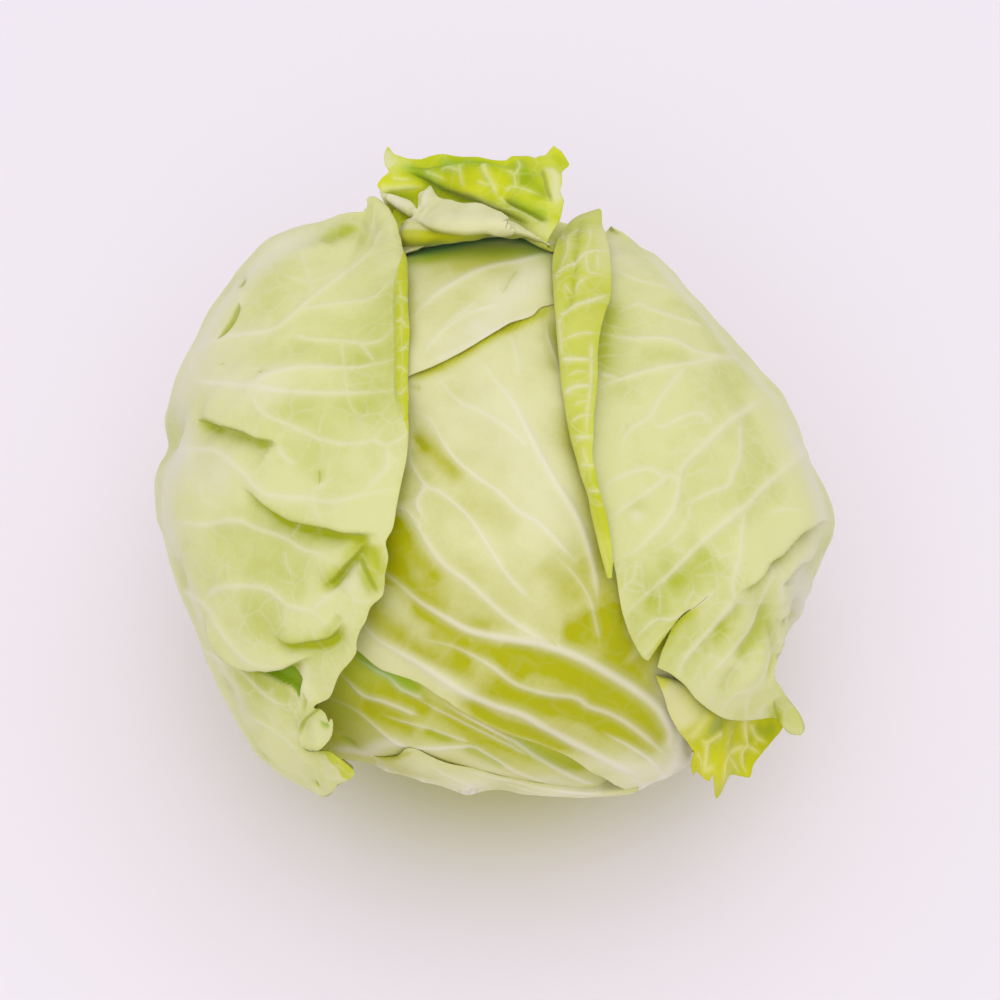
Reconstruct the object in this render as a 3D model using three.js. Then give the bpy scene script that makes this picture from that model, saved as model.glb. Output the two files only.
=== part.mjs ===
// A head of smooth white cabbage with loose wrapper leaves, cut from its stalk.
//
// Units are millimetres and +Z is up. The origin is the centre of the cut stem face, the small
// flat spot that the head stands on. The front faces -Y.
//
// Each leaf is a thin shell shaped by a net of points. A point is a direction from the middle of
// the head and a lift, which is how far the leaf stands off the head's nominal surface there.
// Points on the outside of the head are drawn on a sketch board. Points at the back and the
// underside are given by their bearing round the head and their height angle.

import * as THREE from 'three';

// Driving dimensions.
const HEAD_RADIUS = 80.5;
const HEAD_HALF_HEIGHT = 66;
const HEAD_CENTRE_HEIGHT = 78;
const LEAF_THICKNESS = 0.8;

const HEART_LIFT = -8;
const HEART_RINGS = 16;
const HEART_SEGMENTS = 28;

const STEM_FOOT_RADIUS = 15;
const STEM_WAIST_RADIUS = 15.5;
const STEM_TOP_RADIUS = 14.5;
const STEM_BEVEL = 0.8;
const STEM_HEIGHT = 18.2;
const STEM_SEGMENTS = 28;

// The sketch board is 1000 units square. It is held square to a line of sight that looks down on
// the front of the head at 60 degrees from a point 776 mm off, and 3.58 of its units measure
// 1 mm at the middle of the head.
const BOARD_MIDDLE = 500;
const BOARD_UNITS_PER_MM = 3.58;
const SIGHT_ELEVATION = THREE.MathUtils.degToRad(60);
const SIGHT_DISTANCE = 775.9;
const AIM_RIGHT = 0.84;
const AIM_UP = 5.59;

const HEAD_CENTRE = new THREE.Vector3(0, 0, HEAD_CENTRE_HEIGHT);
const HEAD_SCALE = new THREE.Vector3(HEAD_RADIUS, HEAD_RADIUS, HEAD_HALF_HEIGHT);
const BOARD_RIGHT = new THREE.Vector3(1, 0, 0);
const BOARD_UP = new THREE.Vector3(0, Math.sin(SIGHT_ELEVATION), Math.cos(SIGHT_ELEVATION));
const TO_EYE = new THREE.Vector3(0, -Math.cos(SIGHT_ELEVATION), Math.sin(SIGHT_ELEVATION));
const EYE = HEAD_CENTRE.clone()
  .addScaledVector(BOARD_RIGHT, AIM_RIGHT)
  .addScaledVector(BOARD_UP, AIM_UP)
  .addScaledVector(TO_EYE, SIGHT_DISTANCE);

// A net point from the board: where the sight line through (x, y) meets the head's surface
// stretched outwards by the lift, or where it passes closest to it.
function drawn(x, y, lift) {
  const sight = BOARD_RIGHT.clone().multiplyScalar(x - BOARD_MIDDLE)
    .addScaledVector(BOARD_UP, BOARD_MIDDLE - y)
    .addScaledVector(TO_EYE, -SIGHT_DISTANCE * BOARD_UNITS_PER_MM)
    .divide(HEAD_SCALE)
    .normalize();
  const eye = EYE.clone().sub(HEAD_CENTRE).divide(HEAD_SCALE);
  const nearest = eye.clone().addScaledVector(sight, -eye.dot(sight));
  const reach = (1 + lift / HEAD_RADIUS) ** 2 - nearest.lengthSq();
  const point = nearest.addScaledVector(sight, -Math.sqrt(Math.max(reach, 0)));
  const stretch = point.length();
  point.normalize();
  return new THREE.Vector4(point.x, point.y, point.z, (stretch - 1) * HEAD_RADIUS);
}

// A net point by its bearing round the head (0 at the front, 90 at the right, 180 at the back)
// and its height angle above the widest ring, both in degrees.
function placed(bearing, heightAngle, lift) {
  const turn = THREE.MathUtils.degToRad(bearing);
  const rise = THREE.MathUtils.degToRad(heightAngle);
  return new THREE.Vector4(
    Math.cos(rise) * Math.sin(turn),
    -Math.cos(rise) * Math.cos(turn),
    Math.sin(rise),
    lift
  );
}

// One value for each point of a row, from either a list or a single number.
function valueAt(values, index) {
  return Array.isArray(values) ? values[index] : values;
}

function drawnRow(points, lifts) {
  return points.map(([x, y], index) => drawn(x, y, valueAt(lifts, index)));
}

function placedRow(bearings, heightAngles, lifts) {
  return bearings.map((bearing, index) =>
    placed(bearing, valueAt(heightAngles, index), valueAt(lifts, index)));
}

// A smooth curve through the points, at a fraction of its length in points.
function along(points, fraction) {
  const spans = points.length - 1;
  const place = fraction * spans;
  const first = Math.min(Math.floor(place), spans - 1);
  const t = place - first;
  const p1 = points[first];
  const p2 = points[first + 1];
  const p0 = points[first - 1] ?? p1.clone().multiplyScalar(2).sub(p2);
  const p3 = points[first + 2] ?? p2.clone().multiplyScalar(2).sub(p1);
  return new THREE.Vector4()
    .addScaledVector(p0, (-t + 2 * t * t - t ** 3) / 2)
    .addScaledVector(p1, (2 - 5 * t * t + 3 * t ** 3) / 2)
    .addScaledVector(p2, (t + 4 * t * t - 3 * t ** 3) / 2)
    .addScaledVector(p3, (-t * t + t ** 3) / 2);
}

// A point on a leaf's middle surface: u runs along the rows of its net, v along each row.
function leafPoint(net, u, v) {
  const across = net.map((row) => along(row, v));
  const blend = along(across, u);
  const stretch = 1 + blend.w / HEAD_RADIUS;
  return new THREE.Vector3(blend.x, blend.y, blend.z)
    .normalize()
    .multiplyScalar(stretch)
    .multiply(HEAD_SCALE)
    .add(HEAD_CENTRE);
}

// The fractions at which a net is sampled, with its own number of steps in each span.
function sampleFractions(spanSteps) {
  const fractions = [0];
  spanSteps.forEach((steps, span) => {
    for (let step = 1; step <= steps; step += 1) {
      fractions.push((span + step / steps) / spanSteps.length);
    }
  });
  return fractions;
}

// A closed shell of even thickness on both sides of a leaf's middle surface.
function shellGeometry(net, spanSteps, columnSteps) {
  const rows = sampleFractions(spanSteps);
  const rowSteps = rows.length - 1;
  const grid = [];
  for (const u of rows) {
    for (let j = 0; j <= columnSteps; j += 1) {
      grid.push(leafPoint(net, u, j / columnSteps));
    }
  }
  const width = columnSteps + 1;
  const at = (i, j) => grid[i * width + j];
  const normals = [];
  for (let i = 0; i <= rowSteps; i += 1) {
    for (let j = 0; j <= columnSteps; j += 1) {
      const alongRows = at(Math.min(i + 1, rowSteps), j).clone().sub(at(Math.max(i - 1, 0), j));
      const alongRow = at(i, Math.min(j + 1, columnSteps)).clone().sub(at(i, Math.max(j - 1, 0)));
      normals.push(alongRows.cross(alongRow).normalize());
    }
  }
  const positions = [];
  for (const side of [0.5, -0.5]) {
    grid.forEach((point, index) => {
      positions.push(...point.clone().addScaledVector(normals[index], side * LEAF_THICKNESS));
    });
  }
  const triangles = [];
  const quad = (a, b, c, d) => triangles.push([a, b, c], [a, c, d]);
  const far = grid.length;
  for (let i = 0; i < rowSteps; i += 1) {
    for (let j = 0; j < columnSteps; j += 1) {
      const corner = i * width + j;
      quad(corner, corner + width, corner + width + 1, corner + 1);
      quad(far + corner, far + corner + 1, far + corner + width + 1, far + corner + width);
    }
  }
  const last = rowSteps * width;
  for (let j = 0; j < columnSteps; j += 1) {
    quad(j, j + 1, far + j + 1, far + j);
    quad(last + j + 1, last + j, far + last + j, far + last + j + 1);
  }
  for (let i = 0; i < rowSteps; i += 1) {
    const left = i * width;
    const right = left + columnSteps;
    quad(left + width, left, far + left, far + left + width);
    quad(right, right + width, far + right + width, far + right);
  }
  const geometry = new THREE.BufferGeometry();
  geometry.setAttribute('position', new THREE.Float32BufferAttribute(positions, 3));
  geometry.setIndex(triangles.flat());
  geometry.computeVertexNormals();
  return geometry;
}

function leafMaterial(color) {
  return new THREE.MeshStandardMaterial({ color, roughness: 0.5, metalness: 0 });
}

const WHITE_BLADE = 0xe4e2b4;
const PALE_BLADE = 0xd6db98;
const GREEN_BLADE = 0xc6cf72;
const BRIGHT_BLADE = 0xb0c238;
const STEM_FLESH = 0xe6e0c4;

function makeLeaf(name, color, net, spanSteps, columnSteps) {
  const geometry = shellGeometry(net, spanSteps, columnSteps);
  const mesh = new THREE.Mesh(geometry, leafMaterial(color));
  mesh.name = name;
  return mesh;
}

// The stalk's stub: a short column with a flat cut foot and a slightly narrower top.
function makeStem() {
  const profile = [
    new THREE.Vector2(0, 0),
    new THREE.Vector2(STEM_FOOT_RADIUS, 0),
    new THREE.Vector2(STEM_FOOT_RADIUS + STEM_BEVEL, STEM_BEVEL),
    new THREE.Vector2(STEM_WAIST_RADIUS, STEM_HEIGHT / 2),
    new THREE.Vector2(STEM_TOP_RADIUS, STEM_HEIGHT),
    new THREE.Vector2(0, STEM_HEIGHT)
  ];
  const geometry = new THREE.LatheGeometry(profile, STEM_SEGMENTS);
  geometry.rotateX(Math.PI / 2);
  const mesh = new THREE.Mesh(geometry, leafMaterial(STEM_FLESH));
  mesh.name = 'cut_stem';
  return mesh;
}

// The leaves packed inside the head, too tight to come apart, as one solid.
function makeHeart() {
  const stretch = 1 + HEART_LIFT / HEAD_RADIUS;
  const geometry = new THREE.SphereGeometry(1, HEART_SEGMENTS, HEART_RINGS);
  geometry.rotateX(Math.PI / 2);
  geometry.scale(HEAD_RADIUS * stretch, HEAD_RADIUS * stretch, HEAD_HALF_HEIGHT * stretch);
  geometry.translate(0, 0, HEAD_CENTRE_HEIGHT);
  const mesh = new THREE.Mesh(geometry, leafMaterial(WHITE_BLADE));
  mesh.name = 'packed_heart';
  return mesh;
}

// The left wrapper comes up from the stem round the left side and lies over the head's front.
// Its rows run from its back margin to its front margin, and follow each other from the stem
// to the free margin near the middle of the head.
const LEFT_WRAPPER_NET = [
  placedRow([218, 227, 236, 245, 254, 263, 272, 282, 292, 303], -77, 4.5),
  placedRow([208, 218, 228, 240, 250, 263, 276, 289, 303, 316], -50, 5.5),
  placedRow(
    [201, 212, 225, 239, 249, 263, 277, 293, 311, 325],
    [0, -2, -5, -9, -12, -17, -22, -28, -33, -37],
    [9, 12, 16, 15, 14, 12, 10, 9, 10, 11]
  ),
  drawnRow([
    [372, 212], [300, 228], [236, 269], [190, 345], [164, 398],
    [153, 495], [164, 570], [200, 655], [262, 748], [322, 795]
  ], 8),
  drawnRow([
    [374, 214], [312, 240], [252, 281], [208, 350], [184, 400],
    [174, 492], [187, 567], [217, 650], [272, 744], [327, 792]
  ], [13, 16, 19, 18, 17, 14, 11, 10, 11, 12]),
  drawnRow([
    [377, 214], [331, 246], [286, 290], [252, 347], [236, 399],
    [228, 484], [237, 562], [257, 645], [286, 737], [333, 788]
  ], [12, 13, 15, 15, 14, 12, 10, 9, 10, 12]),
  drawnRow([
    [381, 213], [353, 246], [328, 292], [306, 345], [296, 398],
    [292, 473], [293, 556], [301, 640], [301, 728], [340, 783]
  ], [12, 11.5, 10, 10, 10, 9, 8, 7.5, 9, 11]),
  drawnRow([
    [384, 212], [375, 242], [366, 290], [357, 343], [352, 397],
    [352, 464], [346, 550], [340, 633], [315, 720], [346, 778]
  ], [12, 10.5, 8, 6.5, 6.5, 6.5, 6.5, 7, 9, 11]),
  drawnRow([
    [388, 211], [394, 240], [402, 288], [404, 342], [404, 396],
    [405, 455], [388, 538], [370, 612], [328, 708], [352, 772]
  ], [12, 10, 7, 6, 6, 6, 6, 7, 9, 11])
];

// The right wrapper comes up round the right side. Its free margin is rolled outwards into a
// band that lies back over the blade, which the last two rows shape.
const RIGHT_WRAPPER_NET = [
  placedRow([150, 141, 132, 122, 112, 103, 94, 85, 76, 66], -77, 5),
  placedRow([160, 149, 138, 126, 115, 104, 92, 80, 67, 54], -50, 6),
  placedRow(
    [163, 150, 137, 122, 112, 99, 85, 75, 62, 47],
    [0, -2, -6, -10, -13, -18, -22, -27, -33, -38],
    [9, 8, 7.5, 7, 7, 8, 9, 8, 9, 12]
  ),
  drawnRow([
    [604, 222], [650, 250], [702, 304], [753, 361], [786, 396],
    [812, 460], [834, 525], [819, 575], [784, 642], [805, 724]
  ], 5),
  drawnRow([
    [601, 226], [640, 253], [688, 305], [736, 361], [766, 398],
    [792, 460], [806, 523], [792, 578], [771, 646], [786, 722]
  ], [10, 9, 8, 8, 9, 11, 14, 12, 11, 14]),
  drawnRow([
    [594, 229], [620, 256], [658, 305], [696, 358], [716, 398],
    [737, 458], [751, 520], [746, 578], [741, 650], [758, 720]
  ], [9, 8, 7, 7.5, 9, 10, 11, 11, 11, 13]),
  drawnRow([
    [586, 230], [599, 259], [624, 305], [650, 355], [662, 397],
    [677, 455], [695, 518], [700, 577], [708, 652], [725, 712]
  ], [8.5, 7, 6.5, 6.5, 7, 7.5, 8, 9, 10, 12]),
  drawnRow([
    [574, 231], [577, 261], [587, 305], [603, 352], [610, 396],
    [622, 452], [643, 516], [657, 576], [675, 652], [690, 694]
  ], [8.5, 6.5, 5.5, 5.5, 5.5, 5.5, 6, 7, 9, 11]),
  drawnRow([
    [560, 235], [555, 262], [557, 305], [561, 350], [566, 395],
    [577, 450], [596, 515], [614, 570], [640, 648], [663, 669]
  ], [10, 8.5, 7.5, 7.5, 7.5, 7, 6.5, 6.5, 8, 10]),
  drawnRow([
    [574, 222], [575, 255], [578, 303], [576, 348], [578, 394],
    [583, 449], [600, 513], [620, 571], [646, 651], [668, 673]
  ], [13, 12.5, 11.5, 11, 11, 10.5, 10, 9.5, 11, 13]),
  drawnRow([
    [602, 212], [607, 245], [610, 292], [599, 345], [595, 395],
    [594, 448], [605, 510], [624, 571], [650, 653], [672, 676]
  ], [13, 12.5, 11.5, 11, 10.5, 10, 10, 9.5, 11, 13])
];

// The back wrapper hugs the back of the head, then its upper half stands off as a collar that
// leans away from the head and shows its inner side.
const BACK_WRAPPER_NET = [
  placedRow([212, 202, 191, 180, 169, 158, 148], -77, 2.6),
  placedRow([224, 209, 195, 180, 166, 151, 137], -50, 3.2),
  placedRow([226, 211, 196, 181, 166, 151, 136], -10, 4.5),
  placedRow([222, 209, 195, 181, 167, 153, 140], 20, 5.2),
  placedRow([212, 203, 193, 182, 171, 161, 153], 37, [6.2, 6.2, 6.2, 6.2, 5.8, 5.4, 5]),
  drawnRow([
    [397, 204], [413, 207], [438, 212], [472, 220],
    [500, 226], [524, 231], [545, 233]
  ], [11.5, 11, 10.5, 9.5, 8, 6.5, 6]),
  drawnRow([
    [380, 187], [405, 184], [440, 188], [478, 192],
    [512, 197], [538, 203], [558, 205]
  ], [19, 18, 17.5, 17, 16.5, 15.5, 16]),
  drawnRow([
    [382, 168], [408, 168], [442, 168], [480, 170],
    [514, 172], [542, 175], [563, 176]
  ], [26, 25, 24, 23.5, 23.5, 23.5, 24]),
  drawnRow([
    [387, 150], [412, 157], [446, 155], [482, 157],
    [514, 157], [540, 157], [560, 155]
  ], [31, 30, 29, 28.5, 28.5, 29, 30])
];

// Under the collar a thinner leaf reaches forwards over the top of the head. Its front margin
// rises off the head and is turned back over itself.
const TURNED_LEAF_NET = [
  placedRow([214, 197, 180, 163, 146], -77, 0.6),
  placedRow([226, 203, 180, 157, 135], -50, 1.1),
  placedRow([228, 204, 180, 156, 133], -10, 2.3),
  placedRow([224, 203, 181, 160, 140], 22, 3.0),
  placedRow([214, 199, 182, 165, 149], 44, 4.2),
  drawnRow([[404, 249], [440, 245], [480, 238], [515, 238], [544, 246]], [6.5, 8.5, 9.5, 9, 6]),
  drawnRow([[402, 242], [438, 231], [480, 229], [513, 232], [545, 243]], [9, 12.5, 13.5, 12.5, 8]),
  drawnRow([[401, 235], [430, 216], [475, 213], [513, 225], [544, 240]], [11, 15, 16, 14.5, 9.5]),
  drawnRow([[400, 228], [428, 198], [470, 204], [511, 222], [542, 237]], [12, 16, 17, 15, 10.5])
];

// The first leaf of the tight head at the back and top, ending in a slanting margin.
const CROWN_LEAF_NET = [
  placedRow([215, 198, 180, 162, 145], -77, -2.4),
  placedRow([228, 204, 180, 156, 132], -45, -1.5),
  placedRow([230, 205, 180, 155, 130], -8, 0),
  placedRow([232, 207, 181, 155, 132], [20, 21, 22, 21, 14], 0.8),
  placedRow([234, 212, 184, 157, 138], [38, 43, 45, 41, 29], 1.6),
  drawnRow([[345, 330], [408, 312], [482, 295], [552, 280], [615, 272]], 2.4),
  drawnRow([[352, 402], [413, 373], [485, 337], [548, 306], [608, 284]], 2.2)
];

// The broad front leaf spreads from its thick white base at the lower right.
const FRONT_LEAF_NET = [
  placedRow([12, 22, 33, 44, 56, 70], -77, 0.2),
  placedRow([5, 18, 32, 46, 60, 75], -55, 0.8),
  drawnRow([
    [624, 786], [651, 779], [678, 766], [688, 742], [712, 712], [740, 690]
  ], [3, 3, 3, 3, 2.5, 1.5]),
  drawnRow([
    [562, 755], [597, 724], [628, 690], [658, 655], [690, 620], [725, 590]
  ], [-1.5, 0, 1, 1, 0.6, 0.4]),
  drawnRow([
    [500, 733], [525, 680], [555, 630], [590, 580], [625, 530], [665, 480]
  ], [-3, -1.5, 0, 0.4, 0.4, 0.4]),
  drawnRow([
    [430, 693], [450, 630], [485, 570], [530, 505], [575, 450], [620, 390]
  ], [-3, -1.5, 0, 0.4, 0.4, 0.3]),
  drawnRow([
    [368, 647], [385, 580], [420, 510], [465, 435], [515, 370], [565, 315]
  ], [-3, -1.5, 0, 0.4, 0.3, 0.2]),
  drawnRow([
    [325, 600], [340, 530], [372, 455], [420, 385], [470, 320], [520, 265]
  ], [-3, -1.5, 0, 0.2, 0.2, 0.2])
];

// The leaf under the front leaf's lower margin.
const LOWER_LEAF_NET = [
  placedRow([356, 4, 14, 24, 34], -77, -6),
  placedRow([354, 4, 14, 24, 34], -50, -5.8),
  drawnRow([[585, 788], [592, 770], [600, 745], [610, 715], [620, 690]], -5.6),
  drawnRow([[520, 784], [525, 762], [535, 730], [545, 700], [555, 665]], -5.6),
  drawnRow([[440, 776], [445, 748], [455, 715], [465, 685], [475, 650]], -5.6),
  drawnRow([[372, 753], [375, 718], [385, 680], [395, 645], [405, 610]], -5.6),
  drawnRow([[322, 725], [322, 690], [332, 650], [342, 615], [352, 580]], -5.6)
];

// A short leaf at the bottom of the front, with a loose upper margin.
const FRINGE_LEAF_NET = [
  placedRow([318, 330, 342, 355, 7, 17], -77, -3.4),
  placedRow([320, 332, 344, 356, 8, 19], -50, -3.2),
  drawnRow([
    [372, 756], [400, 770], [440, 779], [500, 787], [560, 795], [600, 798]
  ], -3.5),
  drawnRow([
    [368, 749], [418, 752], [458, 757], [503, 770], [548, 781], [592, 794]
  ], [-3.2, -2.6, -3, -2.6, -3, -3])
];

// A torn low leaf whose tip hangs out below the right wrapper.
const TORN_LEAF_NET = [
  placedRow([44, 51, 58, 65], -77, 2.4),
  placedRow([42, 49, 56, 63], -60, 3.2),
  placedRow([42, 48, 54, 60], -40, 4.2),
  placedRow([40, 46, 52, 57], -12, 5),
  drawnRow([[678, 692], [706, 700], [738, 706], [762, 706]], [5, 6, 7, 8]),
  drawnRow([[690, 738], [714, 740], [742, 742], [768, 738]], [10, 12, 13, 13]),
  drawnRow([[694, 776], [714, 792], [735, 782], [754, 770]], [14, 16, 16, 16])
];

const cabbage = new THREE.Group();
cabbage.add(
  makeStem(),
  makeHeart(),
  makeLeaf('leaf_lower', PALE_BLADE, LOWER_LEAF_NET, [3, 3, 3, 2, 2, 2], 8),
  makeLeaf('leaf_fringe', PALE_BLADE, FRINGE_LEAF_NET, [4, 4, 1], 10),
  makeLeaf('leaf_front', WHITE_BLADE, FRONT_LEAF_NET, [2, 4, 2, 2, 2, 2, 2], 11),
  makeLeaf('leaf_crown', WHITE_BLADE, CROWN_LEAF_NET, [3, 4, 4, 2, 2, 2], 11),
  makeLeaf('leaf_turned', PALE_BLADE, TURNED_LEAF_NET, [3, 4, 3, 3, 1, 1, 1, 1], 11),
  makeLeaf('wrapper_back', BRIGHT_BLADE, BACK_WRAPPER_NET, [3, 4, 3, 2, 1, 2, 2, 2], 12),
  makeLeaf('wrapper_left', GREEN_BLADE, LEFT_WRAPPER_NET, [3, 5, 3, 1, 1, 2, 2, 2], 18),
  makeLeaf('wrapper_right', GREEN_BLADE, RIGHT_WRAPPER_NET, [3, 5, 3, 1, 1, 2, 2, 2, 2, 2], 18),
  makeLeaf('wrapper_torn', BRIGHT_BLADE, TORN_LEAF_NET, [3, 3, 3, 2, 2, 2], 6)
);

export default cabbage;
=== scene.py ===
# %% [markdown]
# # A head of white cabbage
# A cabbage is a short stalk with leaves packed round it. The outer ones are loose, and each is a
# thin waxy blade on a fan of pale ribs. The frame below holds every leaf as a plain shell at its
# real place. This lesson gives each of them its own fine surface: the roll of its margin, its
# folds, its ribs and vein net, and a material with the colours of a living leaf.

import bpy
import numpy as np
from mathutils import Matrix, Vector


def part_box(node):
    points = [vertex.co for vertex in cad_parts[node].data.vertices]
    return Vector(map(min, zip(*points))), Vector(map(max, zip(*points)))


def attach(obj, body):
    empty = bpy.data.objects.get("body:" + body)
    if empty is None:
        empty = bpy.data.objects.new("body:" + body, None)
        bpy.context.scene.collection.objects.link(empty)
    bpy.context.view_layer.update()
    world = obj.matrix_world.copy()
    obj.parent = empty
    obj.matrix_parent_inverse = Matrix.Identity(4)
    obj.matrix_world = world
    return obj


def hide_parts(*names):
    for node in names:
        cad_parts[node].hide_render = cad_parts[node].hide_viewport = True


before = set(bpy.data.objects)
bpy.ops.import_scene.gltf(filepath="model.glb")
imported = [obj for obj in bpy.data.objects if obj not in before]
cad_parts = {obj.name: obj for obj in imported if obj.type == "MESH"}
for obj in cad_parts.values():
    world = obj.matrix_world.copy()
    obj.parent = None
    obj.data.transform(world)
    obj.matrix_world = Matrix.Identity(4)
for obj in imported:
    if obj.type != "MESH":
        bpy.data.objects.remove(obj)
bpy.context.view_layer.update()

MM = 0.001
print("frame nodes:", ", ".join(sorted(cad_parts)))

# %% [markdown]
# ## Where a leaf lies
# The head is a slightly flattened ball. A leaf is shaped by a net of points, and each net point
# is a direction from the middle of the head and a lift, which is how far the leaf stands off the
# ball there. Points on the outside are drawn on a sketch board of 1000 units held square to the
# line of sight. Points at the back and underneath are given by their bearing and height angle.
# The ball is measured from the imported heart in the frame, which lies 8 mm under its surface.

# %% The ball and the sketch board
HEART_DEPTH_MM, BALL_RADIUS_MM = 8, 80.5
HEART_SHARE = 1 - HEART_DEPTH_MM / BALL_RADIUS_MM
heart_low, heart_high = (np.array(corner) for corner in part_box("packed_heart"))
HEAD_CENTRE = (heart_low + heart_high) / 2
HEAD_RADII = (heart_high - heart_low) / 2 / HEART_SHARE
HEAD_RADIUS = HEAD_RADII[0]

# The board stands at the head, and the eye aims a little right of and above the ball's middle.
BOARD_MIDDLE = 500
BOARD_UNITS_PER_METRE = 3580
SIGHT_ELEVATION = np.radians(60)
SIGHT_DISTANCE = 775.9 * MM
AIM_RIGHT = 0.84 * MM
AIM_UP = 5.59 * MM
FOCAL = SIGHT_DISTANCE * BOARD_UNITS_PER_METRE

BOARD_RIGHT = np.array([1.0, 0.0, 0.0])
BOARD_UP = np.array([0.0, np.sin(SIGHT_ELEVATION), np.cos(SIGHT_ELEVATION)])
TO_EYE = np.array([0.0, -np.cos(SIGHT_ELEVATION), np.sin(SIGHT_ELEVATION)])
AIM = HEAD_CENTRE + AIM_RIGHT * BOARD_RIGHT + AIM_UP * BOARD_UP
EYE = AIM + SIGHT_DISTANCE * TO_EYE
print("head radii in mm:", np.round(HEAD_RADII / MM, 1))


def length_of(vectors):
    """The length of each vector."""
    return np.sqrt((vectors * vectors).sum(-1))


def unit(vectors):
    """Each vector divided by its own length."""
    return vectors / np.maximum(length_of(vectors), 1e-12)[..., None]


def points_of(text):
    """Board points written as x,y pairs with spaces between them."""
    return np.array([pair.split(",") for pair in text.split()], float)


def drawn(points, lifts):
    """Net points from the board: where the line of sight through each x,y meets the ball
    stretched outwards by the lift in mm, or where it passes closest to it."""
    xy = points_of(points)
    lift = np.broadcast_to(np.array(lifts, float), len(xy)) * MM
    sight = (xy[:, :1] - BOARD_MIDDLE) * BOARD_RIGHT + (BOARD_MIDDLE - xy[:, 1:]) * BOARD_UP
    sight = unit((sight - FOCAL * TO_EYE) / HEAD_RADII)
    eye = (EYE - HEAD_CENTRE) / HEAD_RADII
    nearest = eye - (sight @ eye)[:, None] * sight
    reach = (1 + lift / HEAD_RADIUS) ** 2 - (nearest**2).sum(1)
    point = nearest - sight * np.sqrt(np.maximum(reach, 0))[:, None]
    stretch = length_of(point)[:, None]
    return np.hstack([point / stretch, (stretch - 1) * HEAD_RADIUS / MM])


def placed(bearings, heights, lifts):
    """Net points from their bearing round the head (0 front, 90 right, 180 back) and their
    height angle above the widest ring, in degrees, and their lift in mm."""
    turn = np.radians(np.array(bearings, float))
    rise = np.radians(np.broadcast_to(np.array(heights, float), turn.shape))
    lift = np.broadcast_to(np.array(lifts, float), turn.shape)
    level = np.cos(rise)
    return np.stack([level * np.sin(turn), -level * np.cos(turn), np.sin(rise), lift], 1)


def smooth(points, places):
    """A Catmull-Rom curve through the points, read at fractional places: between two points it is
    the cubic whose slope at each is half the step between that point's neighbours."""
    points = np.asarray(points, float)
    before = 2 * points[:1] - points[1:2]
    after = 2 * points[-1:] - points[-2:-1]
    run = np.concatenate([before, points, after])
    first = np.clip(places.astype(int), 0, len(points) - 2)
    t = (places - first).reshape((-1,) + (1,) * (points.ndim - 1))
    a, b, c, d = run[first], run[first + 1], run[first + 2], run[first + 3]
    square = (2 * a - 5 * b + 4 * c - d) * t**2 / 2
    cube = (3 * b - a - 3 * c + d) * t**3 / 2
    return b + (c - a) * t / 2 + square + cube


def curve(points, step):
    """A smooth line through the points with a point about every step."""
    points = np.array(points, float)
    counts = np.maximum(1, np.ceil(length_of(np.diff(points, axis=0)) / step)).astype(int)
    places = [k + np.arange(n) / n for k, n in enumerate(counts)]
    return smooth(points, np.concatenate(places + [[len(points) - 1.0]]))


def on_board(points):
    """Where points in space show on the sketch board: their offsets from the aim, over depth."""
    offset = points - EYE
    depth = -(offset @ TO_EYE)
    x = BOARD_MIDDLE + FOCAL * (offset @ BOARD_RIGHT) / depth
    y = BOARD_MIDDLE - FOCAL * (offset @ BOARD_UP) / depth
    return np.stack([x, y], -1)


WAVES = 14


def wander(points, wavelength, seed):
    """Smooth noise between about -1 and 1: the sum of plane waves in random directions whose
    wavelengths lie round the one asked for, scaled to an even strength."""
    random = np.random.default_rng(seed)
    directions = unit(random.normal(size=(WAVES, 3)))
    numbers = 2 * np.pi / (wavelength * random.uniform(0.7, 1.5, WAVES))
    phases = random.uniform(0, 2 * np.pi, WAVES)
    waves = np.cos(points @ (directions * numbers[:, None]).T + phases)
    return np.sqrt(2 / WAVES) * waves.sum(-1)


# %% [markdown]
# ## A leaf as a grid that veins and folds are pressed into
# A leaf could be sculpted by hand, but a grid of points keeps it exact and easy to change. The
# net gives the grid its large form. Lines drawn on the board are then pinned to the grid, and
# the distance from every grid point to a line gives a rib, a furrow, a fold or a stain. Last the
# margin and the holes are cut along drawn outlines, and a second side gives the leaf thickness.

# %% Grid helpers
# NEVER is a distance in mm that no point reaches, and CELL_MM is about one grid cell. Lines and
# margins are curved in steps of a few board units. WHOLE is every net row.
NEVER = 1e3
CELL_MM = 0.5
LINE_STEP, MARGIN_STEP = 6, 5
WHOLE = (0, 99)
# Tints from 0 to 1. The dark tint is painted shade under other leaves and in gaps. The green tint is
# the leaf's own deeper green in its furrows together with painted shade in hollows and under other
# leaves. The lime tint is thin tissue's colour together with painted glow where light comes through.
# The pale wax tint also carries painted sheen along the outer edges.
TINTS = ("relief", "cream", "green", "lime", "dark", "bloom", "thick")
LINES = ("vein", "crease")


def grid_normals(points):
    """The outward normal at each grid point: the cross product of the steps along both ways."""
    return unit(np.cross(np.gradient(points, axis=0), np.gradient(points, axis=1)))


def sample(grid, places):
    """A grid's values between its points, weighted by how near each corner is."""
    rows, columns = grid.shape[:2]
    i = np.clip(places[:, 0].astype(int), 0, rows - 2)
    j = np.clip(places[:, 1].astype(int), 0, columns - 2)
    s = (places[:, 0] - i)[:, None]
    t = (places[:, 1] - j)[:, None]
    upper = grid[i, j] * (1 - t) + grid[i, j + 1] * t
    lower = grid[i + 1, j] * (1 - t) + grid[i + 1, j + 1] * t
    return upper * (1 - s) + lower * s


def bell(distance, width):
    """A bell curve: 1 at no distance and 1/e at the width."""
    return np.exp(-((distance / width) ** 2))


def s_curve(t):
    """A smooth rise from 0 to 1 that is level at both ends: 3 t squared less 2 t cubed."""
    return t * t * (3 - 2 * t)


def from_tips(share, rate):
    """0 at both tips of a line, and 1 where a 1/rate share of it has been passed."""
    return np.clip(np.minimum(share, 1 - share) * rate, 0, 1)


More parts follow.
